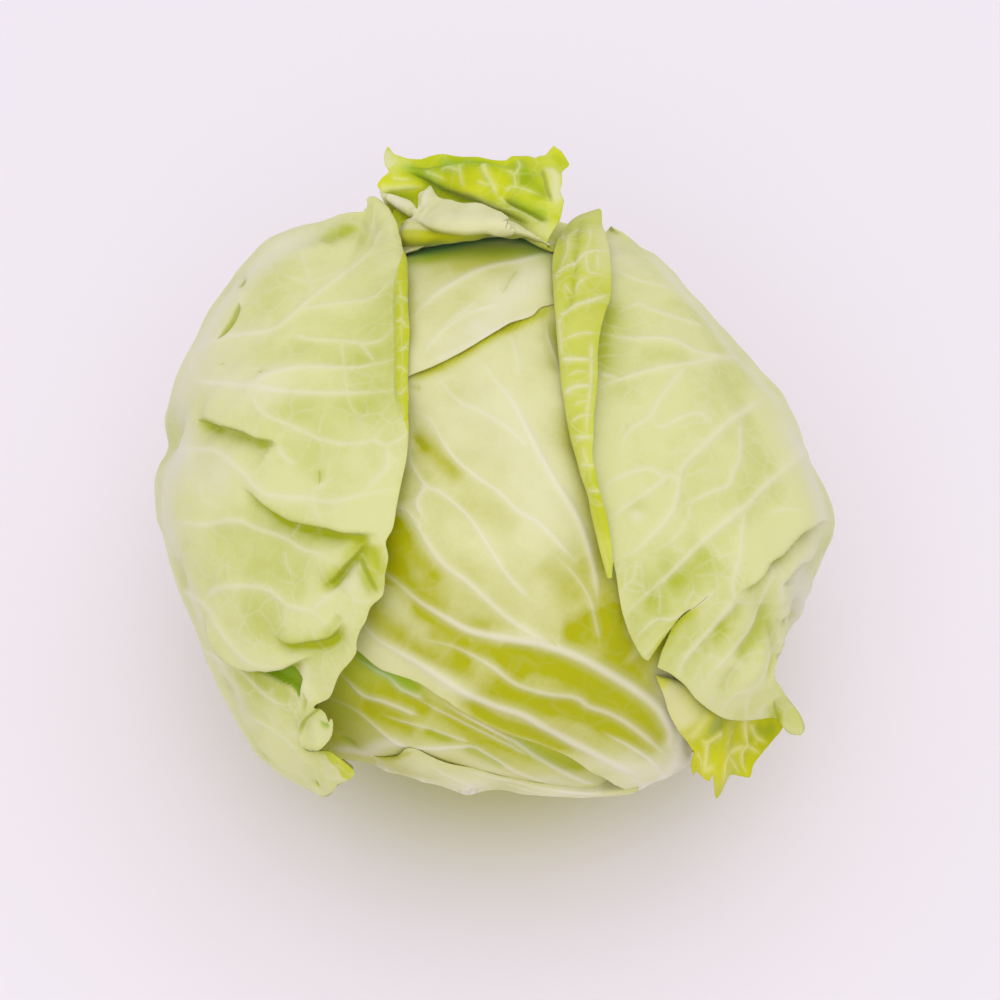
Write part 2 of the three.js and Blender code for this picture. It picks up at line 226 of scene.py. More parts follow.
def rows_between(steps):
    """Fractional net rows: between each net row and the next there are the steps given."""
    return np.concatenate([[0.0]] + [k + np.arange(1, n + 1) / n for k, n in enumerate(steps)])


# %% The leaf class
# Pinning a board point starts from every fourth grid point and takes eight steps, none longer
# than four cells. A cell counts as no smaller on the board than the least area. The least facing
# is the cosine between a point's normal and its line of sight.
STRIDE, NEWTON_STEPS, LONGEST_STEP, LEAST_AREA, LEAST_FACING = 4, 8, 4, 0.05, 0.04
# A fold's step, the painted shade on its low side and its painted crease line in mm. The low side is
# narrower.
STEP_HALF, LOW_SIDE = 0.45, 0.7
SHADE_AT, SHADE_WIDTH = 1.2, 1.6
CREASE_AT, CREASE_HALF = 0.35, 0.45
# A slit's reach, its furrow and the shade in it in mm, and how green that shade is.
SLIT_REACH, FURROW_WIDTH, SHADED_WIDTH, FURROW_GREEN = 4, 1.1, 1.5, 0.3
# A vein's ridge spreads past its line by a factor, and is measured some mm further.
VEIN_SPREAD, VEIN_ROOM = 1.7, 2.5
# The net row where a leaf's base starts to whiten, over how many rows, how white it gets, the row
# where it starts to thicken, and by how many mm a row.
WHITE_FROM, WHITE_ROWS, WHITE_SHARE, THICK_FROM, THICK_MM = 2.6, 2.0, 0.9, 1.6, 2.2
PIT_EDGE = 0.5


class Leaf:
    """One leaf's side as a grid, with its relief in mm and its tints from 0 to 1. Past the bent
    row the leaf is turned over, so the side that shows there is its inner one."""

    def __init__(self, net, row_steps, column_steps, bent=99):
        net = np.array(net)
        self.rows = rows_between(row_steps)
        self.columns = np.linspace(0, net.shape[1] - 1, column_steps + 1)
        across = smooth(net.swapaxes(0, 1), self.columns)
        blend = smooth(across.swapaxes(0, 1), self.rows)
        stretch = 1 + blend[..., 3:] * MM / HEAD_RADIUS
        self.points = HEAD_CENTRE + unit(blend[..., :3]) * HEAD_RADII * stretch
        outwards = (grid_normals(self.points) * (self.points - HEAD_CENTRE)).sum(-1)
        self.turn = np.sign(outwards[self.rows < bent].sum())
        self.board = on_board(self.points)
        self.shape = self.points.shape[:2]
        self.row_of = np.broadcast_to(self.rows[:, None], self.shape)
        self.shown = np.clip((bent - self.row_of) * 3, -1, 1)
        bend = np.where(self.row_of < bent, 1, -1)[..., None]
        self.normals = grid_normals(self.points) * self.turn * bend
        self.facing = (self.normals * unit(EYE - self.points)).sum(-1)
        self.fields = {name: np.zeros(self.shape) for name in TINTS}
        for line in LINES:
            self.fields[line + "_side"] = np.full(self.shape, NEVER)
            self.fields[line + "_near"] = np.full(self.shape, NEVER)
            self.fields[line + "_strength"] = np.zeros(self.shape)
        self.fields["patch"] = np.full(self.shape, -NEVER)
        self.fields["pit"] = np.full(self.shape, -NEVER)
        self.shift = np.zeros(self.points.shape)
        self.keep = np.full(self.shape, NEVER)
        print("leaf grid:", " by ".join(str(count) for count in self.shape), "points")

    def pin(self, marks, part=WHOLE):
        """Board points laid on the leaf: the nearest grid point that faces the eye, then a few
        Newton steps on the board position."""
        usable = (self.facing > LEAST_FACING) & (self.row_of >= part[0]) & (self.row_of <= part[1])
        thin = np.zeros(self.shape, bool)
        thin[::STRIDE, ::STRIDE] = True
        i, j = np.nonzero(usable & thin)
        gaps = length_of(marks[:, None, :] - self.board[i, j][None])
        best = gaps.argmin(1)
        places = np.stack([i[best], j[best]], 1).astype(float)
        slope_i, slope_j = np.gradient(self.board, axis=0), np.gradient(self.board, axis=1)
        low = np.searchsorted(self.rows, part[0])
        high = np.searchsorted(self.rows, part[1], "right") - 1
        for _ in range(NEWTON_STEPS):
            miss = marks - sample(self.board, places)
            a, b = sample(slope_i, places), sample(slope_j, places)
            area = a[:, 0] * b[:, 1] - a[:, 1] * b[:, 0]
            area = np.where(np.abs(area) < LEAST_AREA, LEAST_AREA, area)
            step_i = (miss[:, 0] * b[:, 1] - miss[:, 1] * b[:, 0]) / area
            step_j = (a[:, 0] * miss[:, 1] - a[:, 1] * miss[:, 0]) / area
            steps = np.clip(np.stack([step_i, step_j], 1), -LONGEST_STEP, LONGEST_STEP)
            places = np.clip(places + steps, (low, 0), (high, self.shape[1] - 1))
        return sample(self.points, places)

    def path(self, marks, part=WHOLE):
        """A line drawn on the board, laid on the leaf."""
        return self.pin(curve(points_of(marks), LINE_STEP), part)

    def grown(self, places):
        """A line given by its net rows and columns, laid on the leaf in steps of a fifth of one."""
        line = curve(np.array(places, float) * 10, 2) / 10
        i = np.interp(line[:, 0], self.rows, np.arange(len(self.rows)))
        j = np.interp(line[:, 1], self.columns, np.arange(len(self.columns)))
        return sample(self.points, np.stack([i, j], 1))

    def measure(self, path, reach):
        """For the grid points within reach of a path: their index, their distance to it, the side
        they lie on (1 left, -1 right) and the share of the path passed at the nearest point."""
        points = self.points.reshape(-1, 3)
        close = (points > path.min(0) - reach).all(1) & (points < path.max(0) + reach).all(1)
        index = np.nonzero(close)[0]
        starts, steps = path[:-1], np.diff(path, axis=0)
        steps = np.where(length_of(steps)[:, None] < 1e-7, 1e-7, steps)
        offset = points[index][:, None, :] - starts
        t = np.clip((offset * steps).sum(-1) / (steps**2).sum(-1), 0, 1)
        gap = offset - t[..., None] * steps
        distance = length_of(gap)
        nearest = distance.argmin(1)
        rows = np.arange(len(index))
        turned = np.cross(steps[nearest], gap[rows, nearest])
        side = np.sign((turned * self.normals.reshape(-1, 3)[index]).sum(-1))
        share = (nearest + t[rows, nearest]) / len(steps)
        return index, distance[rows, nearest] / MM, side, share

    def add(self, name, index, amount):
        """Adds an amount to a field at some grid points."""
        self.fields[name].reshape(-1)[index] += amount

    def stroke(self, path, width, **amounts):
        """A soft line: each amount fades as a bell curve whose half-width in mm is given."""
        index, distance, _, share = self.measure(path, 3 * width * MM)
        strength = bell(distance, width) * (0.25 + 0.75 * from_tips(share, 6) ** 0.5)
        for name, amount in amounts.items():
            self.add(name, index, amount * strength)

    def spot(self, place, radius, part=WHOLE, **amounts):
        """A soft round patch: each amount fades as a bell curve round a board point."""
        centre = self.pin(points_of(place), part)
        strength = bell(length_of(self.points.reshape(-1, 3) - centre) / MM, radius)
        for name, amount in amounts.items():
            self.add(name, slice(None), amount * strength)

    def mark(self, line, index, distance, side, half, strength):
        """Keeps the distance to the nearest line of a kind in half-widths. Side has the sign of the
        side it lies on, so it crosses 0 on the line and the material can draw the line sharply.
        Near has no sign and is less by one grid cell: it hides false crossings between two lines."""
        near = np.maximum(distance - CELL_MM, 0) / half
        held = self.fields[line + "_near"].reshape(-1)
        better = near < held[index]
        chosen = index[better]
        held[chosen] = near[better]
        self.fields[line + "_side"].reshape(-1)[chosen] = (side * distance / half)[better]
        strengths = np.broadcast_to(strength, near.shape)
        self.fields[line + "_strength"].reshape(-1)[chosen] = strengths[better]

    def fold(self, path, drop, reach, lap=0.8, green=0.4, line=1.0):
        """A fold in mm. The surface is high on the left of the line and low on its right: the
        step is the signed distance through a tanh, and it eases out over the reach. The high
        side also slides over the low side by the lap. The green just past the step on the low
        side and the crease line are painted shade."""
        index, distance, side, share = self.measure(path, 2.6 * reach * MM)
        ends = s_curve(from_tips(share, 4))
        signed = side * distance
        ease = bell(distance, np.where(signed > 0, reach, LOW_SIDE * reach))
        step = np.tanh((signed + STEP_HALF) / STEP_HALF)
        self.add("relief", index, drop / 2 * step * ease * ends)
        self.add("green", index, green * bell(signed + SHADE_AT, SHADE_WIDTH) * ends)
        steps = np.diff(path, axis=0)
        nearest = np.clip((share * len(steps)).astype(int), 0, len(steps) - 1)
        away = unit(np.cross(steps[nearest], self.normals.reshape(-1, 3)[index]))
        high_side = np.clip((signed + 2 * STEP_HALF) / (2 * STEP_HALF), 0, 1)
        slide = lap * MM * high_side * ease * ends
        self.shift.reshape(-1, 3)[index] += away * slide[:, None]
        off = signed + CREASE_AT
        self.mark("crease", index, np.abs(off), np.sign(off), CREASE_HALF, line * ends)

    def slit(self, path, half=0.5, depth=0.5, strength=1.0):
        """A narrow cut or crease: a furrow a few mm wide with its sharp dark line, in mm. The
        furrow's green and the dark line are painted shade.
        """
        index, distance, side, share = self.measure(path, SLIT_REACH * MM)
        ends = np.maximum(from_tips(share, 5), 0.05)
        self.add("relief", index, -depth * ends * bell(distance, FURROW_WIDTH))
        self.add("green", index, FURROW_GREEN * ends * bell(distance, SHADED_WIDTH))
        self.mark("crease", index, distance, side, half * ends, strength)

    def vein(self, path, start, end, rise=0.5, strength=0.7):
        """A vein: a bell-shaped ridge as wide in mm at its two ends as given, with its line. It
        thins towards both tips."""
        reach = VEIN_SPREAD * max(start, end) + VEIN_ROOM
        index, distance, side, share = self.measure(path, reach * MM)
        half = (start + (end - start) * share) / 2
        ends = np.clip(np.minimum((1 - share) * 4, share * 14), 0, 1)
        half = half * (0.45 + 0.55 * ends)
        ridge = rise * half * ends * bell(distance, VEIN_SPREAD * half)
        self.add("relief", index, ridge)
        self.add("thick", index, ridge)
        self.mark("vein", index, distance, side, half, strength * (0.3 + 0.7 * ends))

    def veins(self, rows, start, end, part=WHOLE, **settings):
        """Several veins of one size, each a row of board points."""
        rows = rows.strip().splitlines()
        for marks in rows:
            self.vein(self.path(marks, part), start, end, **settings)
        print(f"veins {start} mm wide: {len(rows)}")

    def draw(self, rows, part=WHOLE):
        """Lines of several kinds, one to a row: the kind with its numbers and named amounts, then
        its board points after a colon."""
        kinds = {"stroke": self.stroke, "fold": self.fold, "slit": self.slit}
        rows = rows.strip().splitlines()
        for row in rows:
            words, marks = row.split(":")
            kind, *words = words.split()
            numbers = [float(word) for word in words if "=" not in word]
            named = [word.split("=") for word in words if "=" in word]
            amounts = {name: float(value) for name, value in named}
            kinds[kind](self.path(marks, part), *numbers, **amounts)
        print("strokes, folds and slits:", len(rows))

    def fan(self, stem_column, middle, ribs, reach_row=4.0, widths=(7.0, 4.0)):
        """The ribs that spread from the stalk over the hidden part of the leaf: a thick midrib to
        a column of the net and thinner ribs that leave it one after the other. The base turns
        white and thick towards the stalk."""
        base = np.clip((WHITE_FROM - self.row_of) / WHITE_ROWS, 0, 1)
        self.fields["cream"] += s_curve(base) * WHITE_SHARE
        self.fields["thick"] += THICK_MM * np.clip(THICK_FROM - self.row_of, 0, 1)
        middle_line = [(0.2, stem_column), (1, stem_column * 0.6 + middle * 0.4),
                       (2.2, stem_column * 0.2 + middle * 0.8), (3.2, middle), (reach_row, middle)]
        self.stroke(self.grown(middle_line), 6, cream=0.6, relief=1.2)
        self.vein(self.grown(middle_line), *widths, rise=0.45, strength=0.9)
        for column in ribs:
            leave = 0.7 + 0.9 * (1 - abs(column - middle) / max(abs(c - middle) for c in ribs))
            line = [(leave * 0.6, stem_column + 0.15 * (column - stem_column)),
                    (leave + 0.5, stem_column + 0.45 * (column - stem_column)),
                    ((leave + reach_row) / 2 + 0.4, column * 0.85 + stem_column * 0.15),
                    (reach_row, column)]
            self.stroke(self.grown(line), 3.5, cream=0.35, relief=0.5)
            self.vein(self.grown(line), 3.4, 1.7, rise=0.4, strength=0.9)

    def sway(self, height, wavelength, seed):
        """Gentle waves all over the leaf, in mm."""
        self.fields["relief"] += height * wander(self.points, wavelength * MM, seed)

    def depth_inside(self, outline):
        """How far in mm each grid point's board position lies inside a closed outline."""
        points = self.board.reshape(-1, 2)
        ends = np.roll(outline, -1, axis=0)
        steps = ends - outline
        offset = points[:, None, :] - outline
        t = np.clip((offset * steps).sum(-1) / np.maximum((steps**2).sum(-1), 1e-9), 0, 1)
        distance = length_of(offset - t[..., None] * steps).min(1)
        above = outline[:, 1] > points[:, 1:]
        crosses = above != (ends[:, 1] > points[:, 1:])
        rise = np.where(np.abs(steps[:, 1]) < 1e-9, 1e-9, steps[:, 1])
        crossing_x = outline[:, 0] + (points[:, 1:] - outline[:, 1]) * steps[:, 0] / rise
        inside = (crosses & (points[:, :1] < crossing_x)).sum(1) % 2 == 1
        depth = np.where(inside, distance, -distance) / BOARD_UNITS_PER_METRE / MM
        return depth.reshape(self.shape)

    def trim(self, margin, around, where=True):
        """Keeps what shows inside a margin line, closed by a few points outside the leaf."""
        outline = np.concatenate([curve(points_of(margin), MARGIN_STEP), points_of(around)])
        depth = self.depth_inside(outline)
        self.keep = np.where(where, np.minimum(self.keep, depth), self.keep)
        print(f"margin cut, {(self.keep > 0).mean():.0%} of the grid stays")

    def hole(self, outline):
        """Cuts away what shows inside a closed outline, on the side that faces the eye."""
        depth = self.depth_inside(points_of(outline))
        self.keep = np.where(self.facing > 0, np.minimum(self.keep, -depth), self.keep)

    def patch(self, outline, kind="patch"):
        """A sharp-edged patch of another tone: the depth inside a closed outline."""
        depth = self.depth_inside(points_of(outline))
        held = self.fields[kind]
        self.fields[kind] = np.where(self.facing > -0.1, np.maximum(held, depth), held)

    def pit(self, outline, depth_mm):
        """A shallow tear that shows the dark green under the skin of the leaf."""
        self.patch(outline, "pit")
        inside = np.clip(self.fields["pit"] / PIT_EDGE, 0, 1) * (self.fields["pit"] > 0)
        self.fields["relief"] -= depth_mm * inside


# %% [markdown]
# ## From a grid to a closed leaf
# The grid becomes triangles. A triangle that crosses the cut line is divided where its edges
# cross it, so a margin follows its drawn outline and not the grid. A copy moved inwards by the
# leaf's thickness makes the inner side, and a band round every open edge joins the two.

# %% Cut, thicken and hand over to Blender


def grid_triangles(rows, columns):
    """Two triangles for each cell of a grid, facing the way the normals point."""
    index = np.arange(rows * columns).reshape(rows, columns)
    a, b = index[:-1, :-1].ravel(), index[:-1, 1:].ravel()
    c, d = index[1:, :-1].ravel(), index[1:, 1:].ravel()
    return np.concatenate([np.stack([a, c, d], 1), np.stack([a, d, b], 1)])


def clipped(values, triangles, keep):
    """The triangles where keep is above 0, with the crossing ones divided where it is 0."""
    inside = keep > 0
    count = inside[triangles].sum(1)
    whole = triangles[count == 3]
    crossing = triangles[(count == 1) | (count == 2)]
    if len(crossing) == 0:
        return values, whole
    lone_inside = inside[crossing].sum(1) == 1
    odd = (inside[crossing] == lone_inside[:, None]).argmax(1)
    rows = np.arange(len(crossing))
    a, b, c = (crossing[rows, (odd + turn) % 3] for turn in range(3))
    pairs = np.sort(np.concatenate([np.stack([a, b], 1), np.stack([a, c], 1)]), axis=1)
    keys, index = np.unique(pairs, axis=0, return_inverse=True)
    index = index.ravel() + len(values)
    t = keep[keys[:, 0]] / (keep[keys[:, 0]] - keep[keys[:, 1]])
    t = np.clip(t, 0.02, 0.98)[:, None]
    values = np.concatenate([values, values[keys[:, 0]] * (1 - t) + values[keys[:, 1]] * t])
    ab, ac = index[: len(crossing)], index[len(crossing) :]
    tips = np.stack([a, ab, ac], 1)[lone_inside]
    wide = ~lone_inside
    near_half = np.stack([ab, b, c], 1)[wide]
    far_half = np.stack([ab, c, ac], 1)[wide]
    return values, np.concatenate([whole, tips, near_half, far_half])


def open_edges(triangles):
    """The edges that only one triangle has, in that triangle's direction."""
    edges = np.concatenate([triangles[:, [0, 1]], triangles[:, [1, 2]], triangles[:, [2, 0]]])
    key = np.sort(edges, axis=1)
    _, index, counts = np.unique(key, axis=0, return_index=True, return_counts=True)
    return edges[index[counts == 1]]


def used_only(values, triangles):
    """Values and triangles without the points that no triangle uses."""
    used, index = np.unique(triangles, return_inverse=True)
    return values[used], index.reshape(triangles.shape)


def frame_piece(name, points, triangles, fields, material):
    """A smooth-shaded Blender object with one float attribute for each field. It stands for the
    frame's node of the same name and rides on the one body."""
    mesh = bpy.data.meshes.new(name)
    mesh.vertices.add(len(points))
    mesh.vertices.foreach_set("co", points.astype(np.float32).ravel())
    mesh.loops.add(triangles.size)
    mesh.loops.foreach_set("vertex_index", triangles.astype(np.int32).ravel())
    mesh.polygons.add(len(triangles))
    mesh.polygons.foreach_set("loop_start", np.arange(0, triangles.size, 3, dtype=np.int32))
    mesh.update(calc_edges=True)
    mesh.polygons.foreach_set("use_smooth", np.ones(len(triangles), bool))
    for field, values in fields.items():
        attribute = mesh.attributes.new(field, "FLOAT", "POINT")
        attribute.data.foreach_set("value", values.astype(np.float32))
    mesh.validate()
    mesh.materials.append(material)
    piece = bpy.data.objects.new(name, mesh)
    bpy.context.scene.collection.objects.link(piece)
    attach(piece, "root")
    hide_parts(name)
    print(f"{name}: {len(triangles)} triangles")


# In mm: the leaf's thickness, the way in from the margin over which it grows, and the depth
# inside the margin past which a material needs no more.
BLADE_THICKNESS, MARGIN_THICKNESS = 0.55, 0.3
MARGIN_RAMP = 6
FARTHEST_EDGE = 40
# How much greener a hollow is for each mm, and the least and the most that relief can change it.
# The green is partly the furrows' own deeper green and partly painted shade in the hollows.
HOLLOW_GREEN_AND_SHADE, GREEN_LEAST, GREEN_MOST = 0.22, -0.1, 0.3
SHADED_FIELDS = ("cream", "green", "lime", "dark", "bloom", "patch", "pit", "edge", "vein_side",
                 "vein_near", "vein_strength", "crease_side", "crease_near", "crease_strength")


def finish_leaf(leaf, name, material):
    """Raises the relief, cuts the leaf, gives it its inner side and hands it to the frame."""
    leaf.fields["edge"] = np.minimum(leaf.keep, FARTHEST_EDGE)
    # Partly painted shade: each hollow is greened by its depth.
    hollow_green_and_shade = np.clip(-HOLLOW_GREEN_AND_SHADE * leaf.fields["relief"], GREEN_LEAST, GREEN_MOST)
    leaf.fields["green"] += hollow_green_and_shade
    names = sorted(leaf.fields)
    raised = leaf.fields["relief"] * np.abs(leaf.shown) * MM
    points = leaf.points + leaf.normals * raised[..., None] + leaf.shift
    normals = grid_normals(points) * leaf.turn
    # Columns: the place 0 to 2, the normal 3 to 5, the depth inside the margin 6, then the fields.
    columns = [points, normals, leaf.keep[..., None]] + [leaf.fields[n][..., None] for n in names]
    values = np.concatenate(columns, axis=-1).reshape(leaf.shape[0] * leaf.shape[1], -1)
    triangles = grid_triangles(*leaf.shape)[:, :: int(leaf.turn)]
    values, triangles = clipped(values, triangles, values[:, 6])
    values, triangles = used_only(values, triangles)
    fields = {n: values[:, 7 + k] for k, n in enumerate(names)}
    ramp = np.clip(fields["edge"] / MARGIN_RAMP, 0, 1)
    thickness = MARGIN_THICKNESS + (BLADE_THICKNESS - MARGIN_THICKNESS) * ramp + fields["thick"]
    outer = values[:, :3]
    inner = outer - unit(values[:, 3:6]) * (thickness * MM)[:, None]
    rim = open_edges(triangles)
    shift = len(outer)
    rim_a = np.stack([rim[:, 1], rim[:, 0], rim[:, 0] + shift], 1)
    rim_b = np.stack([rim[:, 1], rim[:, 0] + shift, rim[:, 1] + shift], 1)
    faces = np.concatenate([triangles, triangles[:, ::-1] + shift, rim_a, rim_b])
    shaded = {n: np.concatenate([fields[n], fields[n]]) for n in SHADED_FIELDS}
    frame_piece(name, np.concatenate([outer, inner]), faces, shaded, material)


# %% [markdown]
# ## The leaf material
# A cabbage leaf is a translucent green tissue under a thin wax. The wax makes it pale and soft,
# and the ribs are almost white because they hold no green. Light enters and comes out again, so
# margins and shaded hollows glow yellow-green. A flat green would look like plastic, so the
# material mixes its colour from the fields that each grid carries, adds a fine vein net and a
# few soft blotches, and lets a little of the light pass through the tissue. Most of that glow is
# painted into the colour: painted glow on the margins, painted shade in hollows, folds and under
# other leaves, and painted sheen along the outer edges.

# %% Colours and nodes


def linear(code):
    """An sRGB hex colour as a linear colour."""
    channels = np.array([int(code[k : k + 2], 16) for k in (1, 3, 5)]) / 255
    values = np.where(channels <= 0.04045, channels / 12.92, ((channels + 0.055) / 1.055) ** 2.4)
    return (*values.tolist(), 1.0)


def add(tree, kind, output=0, inputs=None, **settings):
    """Adds a node with its settings. Each input is a link, a value or a hex colour. Returns one of
    the node's outputs."""
    node = tree.nodes.new(kind)
    for setting, value in settings.items():
        setattr(node, setting, value)
    for socket, value in (inputs or {}).items():
        if isinstance(value, bpy.types.NodeSocket):
            tree.links.new(value, node.inputs[socket])
        else:
            node.inputs[socket].default_value = linear(value) if isinstance(value, str) else value
    return node.outputs[output] if node.outputs else node


def new_material(name):
    """A material with an empty node tree, and the tree."""
    material = bpy.data.materials.new(name)
    material.use_nodes = True
    material.node_tree.nodes.clear()
    return material, material.node_tree


# %% The leaf material
# The soft blotches and the fine grain, and the size and reach of the noise that bends the net.
BLOTCH_MM, GRAIN_MM = 13, 1.1
BEND_MM, BEND_REACH_MM = 9, 7
LEAF_IOR = 1.42
TRANSLUCENCE = 0.08
SAP_SHARE = 0.6
SAP_GREEN = "#D3E03C"
# The wax's pale tone. Along the outer edges of the wrappers it is also painted sheen, where the leaf
# turns away from the eye.
WAX_AND_SHEEN_WHITE = "#E6E0D2"
# Painted shade: the dark line along folds and cuts.
CREASE_SHADE_GREEN = "#A6AE28"
# Painted shade: the deep green under leaves that lean over another, and in gaps and slits.
PAINTED_SHADE_GREEN = "#7ABA2C"
PIT_GREEN = "#93B020"


def leaf_material(name, blade, deep, lime, cream, net_share, net_cell, margin_glow_lime):
    """Waxy leaf tissue. Colours are for the lit blade, the furrows, thin tissue and the ribs; the
    net has a share and a cell in mm, and the last is how much lime is painted on the free margin
    as the glow of light through its thin tissue."""
    material, tree = new_material(name)
    field = {
        kind: add(tree, "ShaderNodeAttribute", "Fac", attribute_name=kind) for kind in SHADED_FIELDS}
    place = add(tree, "ShaderNodeTexCoord", "Object")
    broad, fine, bend = (
        add(tree, "ShaderNodeTexNoise", output,
            {"Vector": place, "Scale": 1 / (size * MM), "Detail": detail})
        for output, size, detail in (
            (0, BLOTCH_MM, 3.0), (0, GRAIN_MM, 2.0), ("Color", BEND_MM, 1.0)))
    bend = add(
        tree, "ShaderNodeVectorMath", 0, {0: bend, 1: (BEND_REACH_MM * MM,) * 3, 2: place},
        operation="MULTIPLY_ADD")
    cells = add(
        tree, "ShaderNodeTexVoronoi", "Distance", {"Vector": bend, "Scale": 1 / (net_cell * MM)},
        feature="DISTANCE_TO_EDGE")

    fades = {
        "net": (cells, 0.0, 0.09), "patchy": (broad, 0.62, 0.38), "rim": (field["edge"], 0.0, 2.2),
        "patch": (field["patch"], 0.12, -0.12), "pit": (field["pit"], 0.2, -0.15),
        "halo": (field["vein_near"], 0.2, 3.0),
    }
    for kind, full, none in (("vein", 0.0, 1.7), ("crease", 0.3, 1.7)):
        off = add(tree, "ShaderNodeMath", 0, {0: field[kind + "_side"]}, operation="ABSOLUTE")
        off = add(tree, "ShaderNodeMath", 0, {0: off, 1: field[kind + "_near"]}, operation="MAXIMUM")
        fades[kind] = (off, full, none)
    fade = {
        kind: add(
            tree, "ShaderNodeMapRange", 0, {0: value, 1: full, 2: none, 3: 1.0, 4: 0.0},
            interpolation_type="SMOOTHSTEP")
        for kind, (value, full, none) in fades.items()
    }
    share = {}
    for kind, first, second in (
            ("vein", fade["vein"], field["vein_strength"]),
            ("halo", fade["halo"], field["vein_strength"]), ("halo", "halo", 0.35),
            ("crease", fade["crease"], field["crease_strength"]), ("crease", "crease", 0.75),
            ("net", fade["net"], fade["patchy"]), ("net", "net", net_share),
            ("rim", fade["rim"], margin_glow_lime)):
        first = share[first] if isinstance(first, str) else first
        share[kind] = add(tree, "ShaderNodeMath", 0, {0: first, 1: second}, operation="MULTIPLY")

    drift = add(tree, "ShaderNodeMath", 0, {0: broad, 1: 0.9, 2: -0.45}, operation="MULTIPLY_ADD")
    drift = add(tree, "ShaderNodeMath", 0, {0: fine, 1: 0.2, 2: drift}, operation="MULTIPLY_ADD")
    sums = {}
    for kind, first, second in (
            ("deep", field["green"], drift), ("lime", field["lime"], share["rim"]),
            ("white", field["cream"], share["vein"])):
        sums[kind] = add(
            tree, "ShaderNodeMath", 0, {0: first, 1: second}, operation="ADD", use_clamp=True)
    yellowed = add(
        tree, "ShaderNodeMath", 0, {0: sums["lime"], 1: fade["patch"]}, operation="MAXIMUM")
    both = add(tree, "ShaderNodeMath", 0, {0: sums["deep"], 1: yellowed}, operation="MULTIPLY")

    # In turn over the blade: the furrow tone, the lime of thin tissue, the vein halo, net and ribs in
    # cream, the wax tone, the crease line, the shade green and the pit. The furrow tone is the leaf's
    # own deeper green together with painted shade. The lime includes painted glow on the free margin,
    # and the wax tone includes painted sheen. The crease line and the shade green are painted shade.
    colour = blade
    for amount, tone in (
            (sums["deep"], deep), (yellowed, lime), (both, deep), (share["halo"], cream),
            (share["net"], cream), (sums["white"], cream), (field["bloom"], WAX_AND_SHEEN_WHITE),
            (share["crease"], CREASE_SHADE_GREEN), (field["dark"], PAINTED_SHADE_GREEN), (fade["pit"], PIT_GREEN)):
        colour = add(tree, "ShaderNodeMix", 2, {0: amount, 6: colour, 7: tone}, data_type="RGBA")

    height = share["vein"]
    for rough, part in ((fine, 0.3), (share["net"], 1.5)):
        height = add(
            tree, "ShaderNodeMath", 0, {0: rough, 1: part, 2: height}, operation="MULTIPLY_ADD")
    bump = add(tree, "ShaderNodeBump", 0, {"Height": height, "Strength": 0.5, "Distance": 0.14 * MM})
    skin = add(
        tree, "ShaderNodeBsdfPrincipled", 0,
        {"Base Color": colour, "Normal": bump, "Roughness": 0.48, "IOR": LEAF_IOR,
         "Specular IOR Level": 0.2, "Sheen Weight": 0.2, "Sheen Roughness": 0.4})
    sap = add(tree, "ShaderNodeMix", 2, {0: SAP_SHARE, 6: colour, 7: SAP_GREEN}, data_type="RGBA")
    through = add(tree, "ShaderNodeBsdfTranslucent", 0, {"Color": sap})
    tissue = add(tree, "ShaderNodeMixShader", 0, {0: TRANSLUCENCE, 1: skin, 2: through})
    add(tree, "ShaderNodeOutputMaterial", 0, {"Surface": tissue})
    print("material", name, "with", len(tree.nodes), "nodes")
    return material


# %% Leaf finishes
# Vein nets have cells of 6 to 9 mm. The real net is finer and too faint to show at this size.
wrapper_skin = leaf_material(
    "waxy_wrapper_leaf", "#DDDD9E", "#B2BA1C", "#CBD024", "#E9E3C8",
    net_share=0.2, net_cell=7.0, margin_glow_lime=0.12)
head_skin = leaf_material(
    "packed_head_leaf", "#E0DEA6", "#B4B400", "#CCCE28", "#EBE5CE",
    net_share=0.05, net_cell=9.0, margin_glow_lime=0.1)
thin_skin = leaf_material(
    "thin_green_leaf", "#D6DC1C", "#9CB200", "#CAD400", "#E8E8A8",
    net_share=0.16, net_cell=6.0, margin_glow_lime=0.1)
torn_skin = leaf_material(
    "bright_torn_leaf", "#CCCC00", "#A6AE00", "#D8D80C", "#E8E48C",
    net_share=0.12, net_cell=6.0, margin_glow_lime=0.1)


# %% [markdown]
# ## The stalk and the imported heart
# The stalk is cut straight across, and the head stands on that cut. Its flesh is cream inside a
# greener rind, with a ring of dark fibre ends, and the rind bulges where leaf stalks sat. The
# heart shows only through gaps between leaves, so low overlapping leaf steps are enough for it.
# Both could be lathed and then sculpted. Here each is a set of rings round the upright axis
# whose radius also changes with the bearing, which keeps the shapes closed and light.

# %% Rings round the upright axis
def ringed_piece(name, across, up, material):
    """A closed shape from rings, listed from below: each point is given by its distance from the
    axis and its height. The first and last rings are closed by a point on the axis."""
    rows, columns = across.shape
    bearing = np.arange(columns) / columns * 2 * np.pi
    rings = np.stack([across * np.cos(bearing), across * np.sin(bearing), up], -1).reshape(-1, 3)
    poles = np.array([[0, 0, up[0].mean()], [0, 0, up[-1].mean()]])
    a = np.arange(rows * columns).reshape(rows, columns)
    b = np.roll(a, -1, axis=1)
    below, above = np.full(columns, rows * columns), np.full(columns, rows * columns + 1)
    triangles = np.concatenate([
        np.stack([a[:-1], b[:-1], b[1:]], -1).reshape(-1, 3),
        np.stack([a[:-1], b[1:], a[1:]], -1).reshape(-1, 3),
        np.stack([b[0], a[0], below], 1),
        np.stack([a[-1], b[-1], above], 1)])
    frame_piece(name, np.concatenate([rings, poles]), triangles, {}, material)


FIBRE_SPACING = 1.4
UNEVEN_MM = 4


